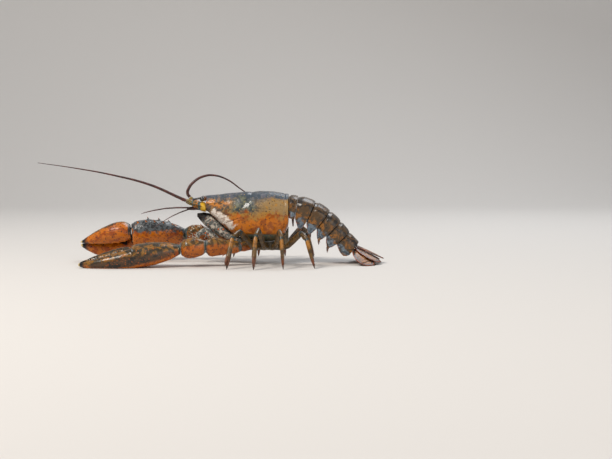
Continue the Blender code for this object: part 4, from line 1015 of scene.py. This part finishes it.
def plate_colour(tree):
    rust = (0.26, 0.10, 0.02)
    ground = mottled(tree, (0.090, 0.050, 0.020), (0.022, 0.016, 0.012), rust, 6, 0.55, 2.0, 0.35)
    flank = mottled(tree, (0.27, 0.105, 0.016), (0.070, 0.040, 0.016), INK, 5, 0.58, 1.9, 0.42)
    patch = mottled(tree, (0.15, 0.19, 0.23), STEEL, (0.32, 0.34, 0.34), 3.5, 0.50, 1.6, 0.3)
    ragged = wander(tree, 0.7, 170.0, 5.0, 0.65)
    low = reckoned(tree, "ADD", number(tree, "down"), ragged)
    colour = faded(tree, low, 0.30, 0.50, ground, flank)
    in_patch = reckoned(tree, "MULTIPLY", stepped(tree, low, 0.64, 0.72), stepped(tree, low, 0.98, 0.88))
    colour = mixed(tree, in_patch, colour, patch)
    return faded(tree, number(tree, "rim"), 0.35, 0.75, colour, (0.40, 0.070, 0.008))


plate_finish = shell_material("tail_plate_finish", plate_colour, pore_mm=1.3, bump=0.35, coat=0.18)

for index, pitch in TAIL_PITCH.items():
    node = f"tail_plate_{index}"
    low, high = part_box(node)
    plate = fine_copy(node, node + "_shell", 0.45 * MM, 60, crisp=0.8 * MM)
    slope = math.radians(pitch)
    back = Vector((math.cos(slope), 0, -math.sin(slope)))
    up = Vector((math.sin(slope), 0, math.cos(slope)))
    heights = points_of(plate) @ np.array(up)
    top, bottom = heights.max(), heights.min()
    rear = (points_of(plate) @ np.array(back)).max()

    def plate_form(point, normal):
        behind = rear - point.dot(back)
        rise = 0.10 * MM * grain(point, 4 * MM) - 0.10 * MM * pits(point, 2.2 * MM)
        if normal.dot(back) < 0.6:
            rise -= 0.25 * MM * groove(behind - 1.6 * MM, 0.7 * MM)
        return rise

    sculpt(plate, plate_form)
    points, normals = points_of(plate), normals_of(plate)
    down = (top - points @ np.array(up)) / (top - bottom)
    edge = np.abs(normals @ np.array((0, 1, 0))) < 0.75
    paint(plate, "down", down)
    paint(plate, "rim", np.clip((down - 0.62) * 4, 0, 1) * edge)
    plate.data.materials.append(plate_finish)
    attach(plate, "root")
    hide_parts(node)


# Swimmerets: thin paired leaves under the tail, of soft red-brown shell.
# Their edges carry a close fringe of bristles, as on the real animal.


frill_colour = plainly((0.16, 0.042, 0.018), (0.06, 0.022, 0.012), (0.34, 0.12, 0.04), 3, 0.5, 1.2, 0.3)
frill_finish = shell_material("swimmeret_finish", frill_colour, pore_mm=0.8, bump=0.3, coat=0.2, rougher=0.1)


def outline_of(points, centre, way, across, steps=360):
    """The points on the rim of a flat leaf, as (angle from way in degrees, index) in turn."""
    ahead, aside = measured(points, centre, way), measured(points, centre, across)
    sector = (np.degrees(np.arctan2(aside, ahead)) + 180) / 360 * steps
    farthest = {}
    for index in np.argsort(np.hypot(ahead, aside)):
        farthest[int(sector[index]) % steps] = int(index)
    return [(360 * (k + 0.5) / steps - 180, farthest[k]) for k in sorted(farthest)]


def fringe_of(points, outline, centre, way, spread, rows, reach, radius):
    """Hairs that stand out from the rim of a leaf, within spread degrees of its tip."""
    hairs = []
    for angle, index in outline:
        if abs(angle) > spread:
            continue
        for _ in range(rows):
            root = Vector(points[index])
            out = (root - centre).normalized()
            lean = (out + way * 0.7 + Vector([random.uniform(-0.15, 0.15) for _ in range(3)])).normalized()
            end = root + lean * reach * random.uniform(0.70, 1.05)
            end.z = max(end.z, 0.15 * MM)
            hairs.append((root - out * 0.6 * MM, end, radius, 0.0))
    return hairs


for side in (LEFT, RIGHT):
    for index in range(1, 6):
        node = f"swimmeret_{index}_{SIDE_NAME[side]}"
        leaf = fine_copy(node, node + "_leaf", 0.34 * MM, 6, crisp=0.4 * MM)
        sculpt(leaf, lambda point, normal: 0.06 * MM * grain(point, 1.2 * MM))
        leaf.data.materials.append(frill_finish)
        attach(leaf, "root")
        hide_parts(node)
        if index > 1:
            points = points_of(leaf)
            centre = Vector(points.mean(axis=0))
            way = Vector((0.35, 0, -0.94))
            outline = outline_of(points, centre, way, Vector((0, 1, 0)), 240)
            hairs = fringe_of(points, outline, centre, way, 115, 1, 2.6 * MM, 0.07 * MM)
            frill = bristle_mesh(node + "_fringe", hairs)
            frill.data.materials.append(bristle_finish)
            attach(frill, "root")


# Tail fan: the telson between two pairs of uropods, thin oval blades of amber-brown shell.
# Fine ribs run to the dark rear rim, and each rim carries a red-brown fringe.


def fan_colour(tree):
    blade = mottled(tree, (0.27, 0.095, 0.010), (0.11, 0.040, 0.008), UMBER, 6, 0.55, 1.6, 0.35)
    dark = mottled(
        tree, (0.034, 0.020, 0.012), (0.014, 0.010, 0.009), (0.12, 0.04, 0.01), 4, 0.5, 1.5, 0.3
    )
    ragged = wander(tree, 2.2, 220.0, 4.0)
    inside = reckoned(tree, "ADD", number(tree, "inside"), ragged)
    colour = faded(tree, inside, 3.6, 2.2, blade, dark)
    seam = reckoned(tree, "ABSOLUTE", number(tree, "seam"))
    colour = faded(tree, seam, 0.8, 0.3, colour, (0.020, 0.012, 0.009))
    return faded(tree, number(tree, "inside"), 0.9, 0.5, colour, (0.32, 0.055, 0.010))


fan_finish = shell_material("fan_finish", fan_colour, pore_mm=1.0, bump=0.3, coat=0.15)

FAN = ("telson", "uropod_inner_left", "uropod_inner_right", "uropod_outer_left", "uropod_outer_right")
for node in FAN:
    blade = fine_copy(node, node + "_blade", 0.3 * MM, 12, crisp=0.5 * MM)
    points = points_of(blade)
    root = Vector(points[points[:, 0] < points[:, 0].min() + 1.2 * MM].mean(axis=0))
    middle = Vector(points.mean(axis=0))
    way = (middle - root).normalized()
    across = way.cross(Vector((0, 0, 1))).normalized()
    along = measured(points, root, way)
    aside = measured(points, root, across)
    reach, half = along.max(), np.abs(aside).max()
    seam_at = 0.74 * reach if "outer" in node else 9.0

    def blade_form(point, normal):
        step = (point - root).dot(across) / half
        run = (point - root).dot(way) / reach
        ray = math.cos(step * 30 / max(0.35, 0.35 + 0.65 * run))
        rise = 0.10 * MM * ray * min(1, max(0, run * 2))
        if node == "telson" and run < 0.8:
            rise += 0.25 * MM * groove(abs(step) - 0.42, 0.12)
        rise -= 0.35 * MM * groove(run * reach + 1.5 * MM * step * step - seam_at, 0.7 * MM)
        return rise if abs(normal.dot(across)) < 0.5 and abs(normal.dot(way)) < 0.5 else 0.0

    heart = root + way * reach * 0.60
    outline = outline_of(points, heart, way, across)
    rim = kdtree.KDTree(len(outline))
    for k, (_, index) in enumerate(outline):
        rim.insert(points[index], k)
    rim.balance()
    paint(blade, "inside", [rim.find(point)[2] / MM for point in points])
    paint(blade, "seam", (along + 1.5 * MM * (aside / half) ** 2 - seam_at) / MM)
    sculpt(blade, blade_form)
    blade.data.materials.append(fan_finish)
    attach(blade, "root")
    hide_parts(node)
    hairs = fringe_of(points, outline, heart, way, 108, 2, 2.3 * MM, 0.09 * MM)
    fringe = bristle_mesh(node + "_fringe", hairs)
    fringe.data.materials.append(bristle_finish)
    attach(fringe, "root")


# Floor, light and camera: a pale sweep under broad soft lamps, seen level from the animal's left.
# One pixel of the photograph is 1.08 mm at the carapace.

MM_PER_PIXEL = 1.08
SOCKET_PIXEL = (207, 201)
IMAGE_WIDTH, IMAGE_HEIGHT = 612, 459
LENS, SENSOR = 85, 36

sweep = bmesh.new()
profile = [(-3.0, 0.0), (1.1, 0.0)]
for k in range(1, 17):
    turn = math.pi / 32 * k
    profile.append((1.1 + 0.9 * math.sin(turn), 0.9 - 0.9 * math.cos(turn)))
profile.append((2.0, 3.5))
rows = [[sweep.verts.new((x, y, z)) for x in (-5, 5)] for y, z in profile]
for row, following in zip(rows, rows[1:]):
    sweep.faces.new((row[0], row[1], following[1], following[0]))
floor_mesh = bpy.data.meshes.new("studio_floor")
sweep.to_mesh(floor_mesh)
sweep.free()
floor_mesh.shade_smooth()
floor = linked(bpy.data.objects.new("studio_floor", floor_mesh))
pale = bpy.data.materials.new("studio_floor_finish")
pale.use_nodes = True
pale.node_tree.nodes["Principled BSDF"].inputs["Base Color"].default_value = (0.66, 0.63, 0.60, 1)
pale.node_tree.nodes["Principled BSDF"].inputs["Roughness"].default_value = 0.8
floor.data.materials.append(pale)

bpy.context.scene.view_settings.view_transform = "Standard"
world = bpy.data.worlds.new("studio") if bpy.context.scene.world is None else bpy.context.scene.world
bpy.context.scene.world = world
world.use_nodes = True
world.node_tree.nodes["Background"].inputs["Color"].default_value = (0.86, 0.92, 1.0, 1)
world.node_tree.nodes["Background"].inputs["Strength"].default_value = 0.36

for name, place, power, size, tint in (
    ("key", (-0.8, -0.9, 1.5), 30, 0.6, (1.0, 0.94, 0.86)),
    ("fill", (1.2, -1.2, 0.5), 7, 1.2, (1.0, 0.96, 0.92)),
    ("back", (0.5, 0.8, 1.2), 9, 0.8, (0.90, 0.95, 1.0)),
):
    lamp = bpy.data.lights.new(name, "AREA")
    lamp.energy = power
    lamp.size = size
    lamp.color = tint
    holder = linked(bpy.data.objects.new(name, lamp))
    holder.location = place
    holder.rotation_euler = (Vector((0, 0, 0.04)) - Vector(place)).to_track_quat("-Z", "Y").to_euler()

camera_data = bpy.data.cameras.new("camera")
camera_data.lens = LENS
camera_data.sensor_width = SENSOR
camera = linked(bpy.data.objects.new("camera", camera_data))
bpy.context.scene.camera = camera
ELEVATION = math.radians(4)
distance = MM_PER_PIXEL * MM * IMAGE_WIDTH * LENS / SENSOR
eye_point = SOCKET + Vector((0, -0.10 * CARAPACE, 0.50 * CARAPACE))
aside = (IMAGE_WIDTH / 2 - SOCKET_PIXEL[0]) * MM_PER_PIXEL * MM
below = (IMAGE_HEIGHT / 2 - SOCKET_PIXEL[1]) * MM_PER_PIXEL * MM
target = eye_point + Vector((aside, 0, -below))
camera.location = target + Vector((0, -math.cos(ELEVATION), math.sin(ELEVATION))) * distance
camera.rotation_euler = (target - camera.location).to_track_quat("-Z", "Y").to_euler()
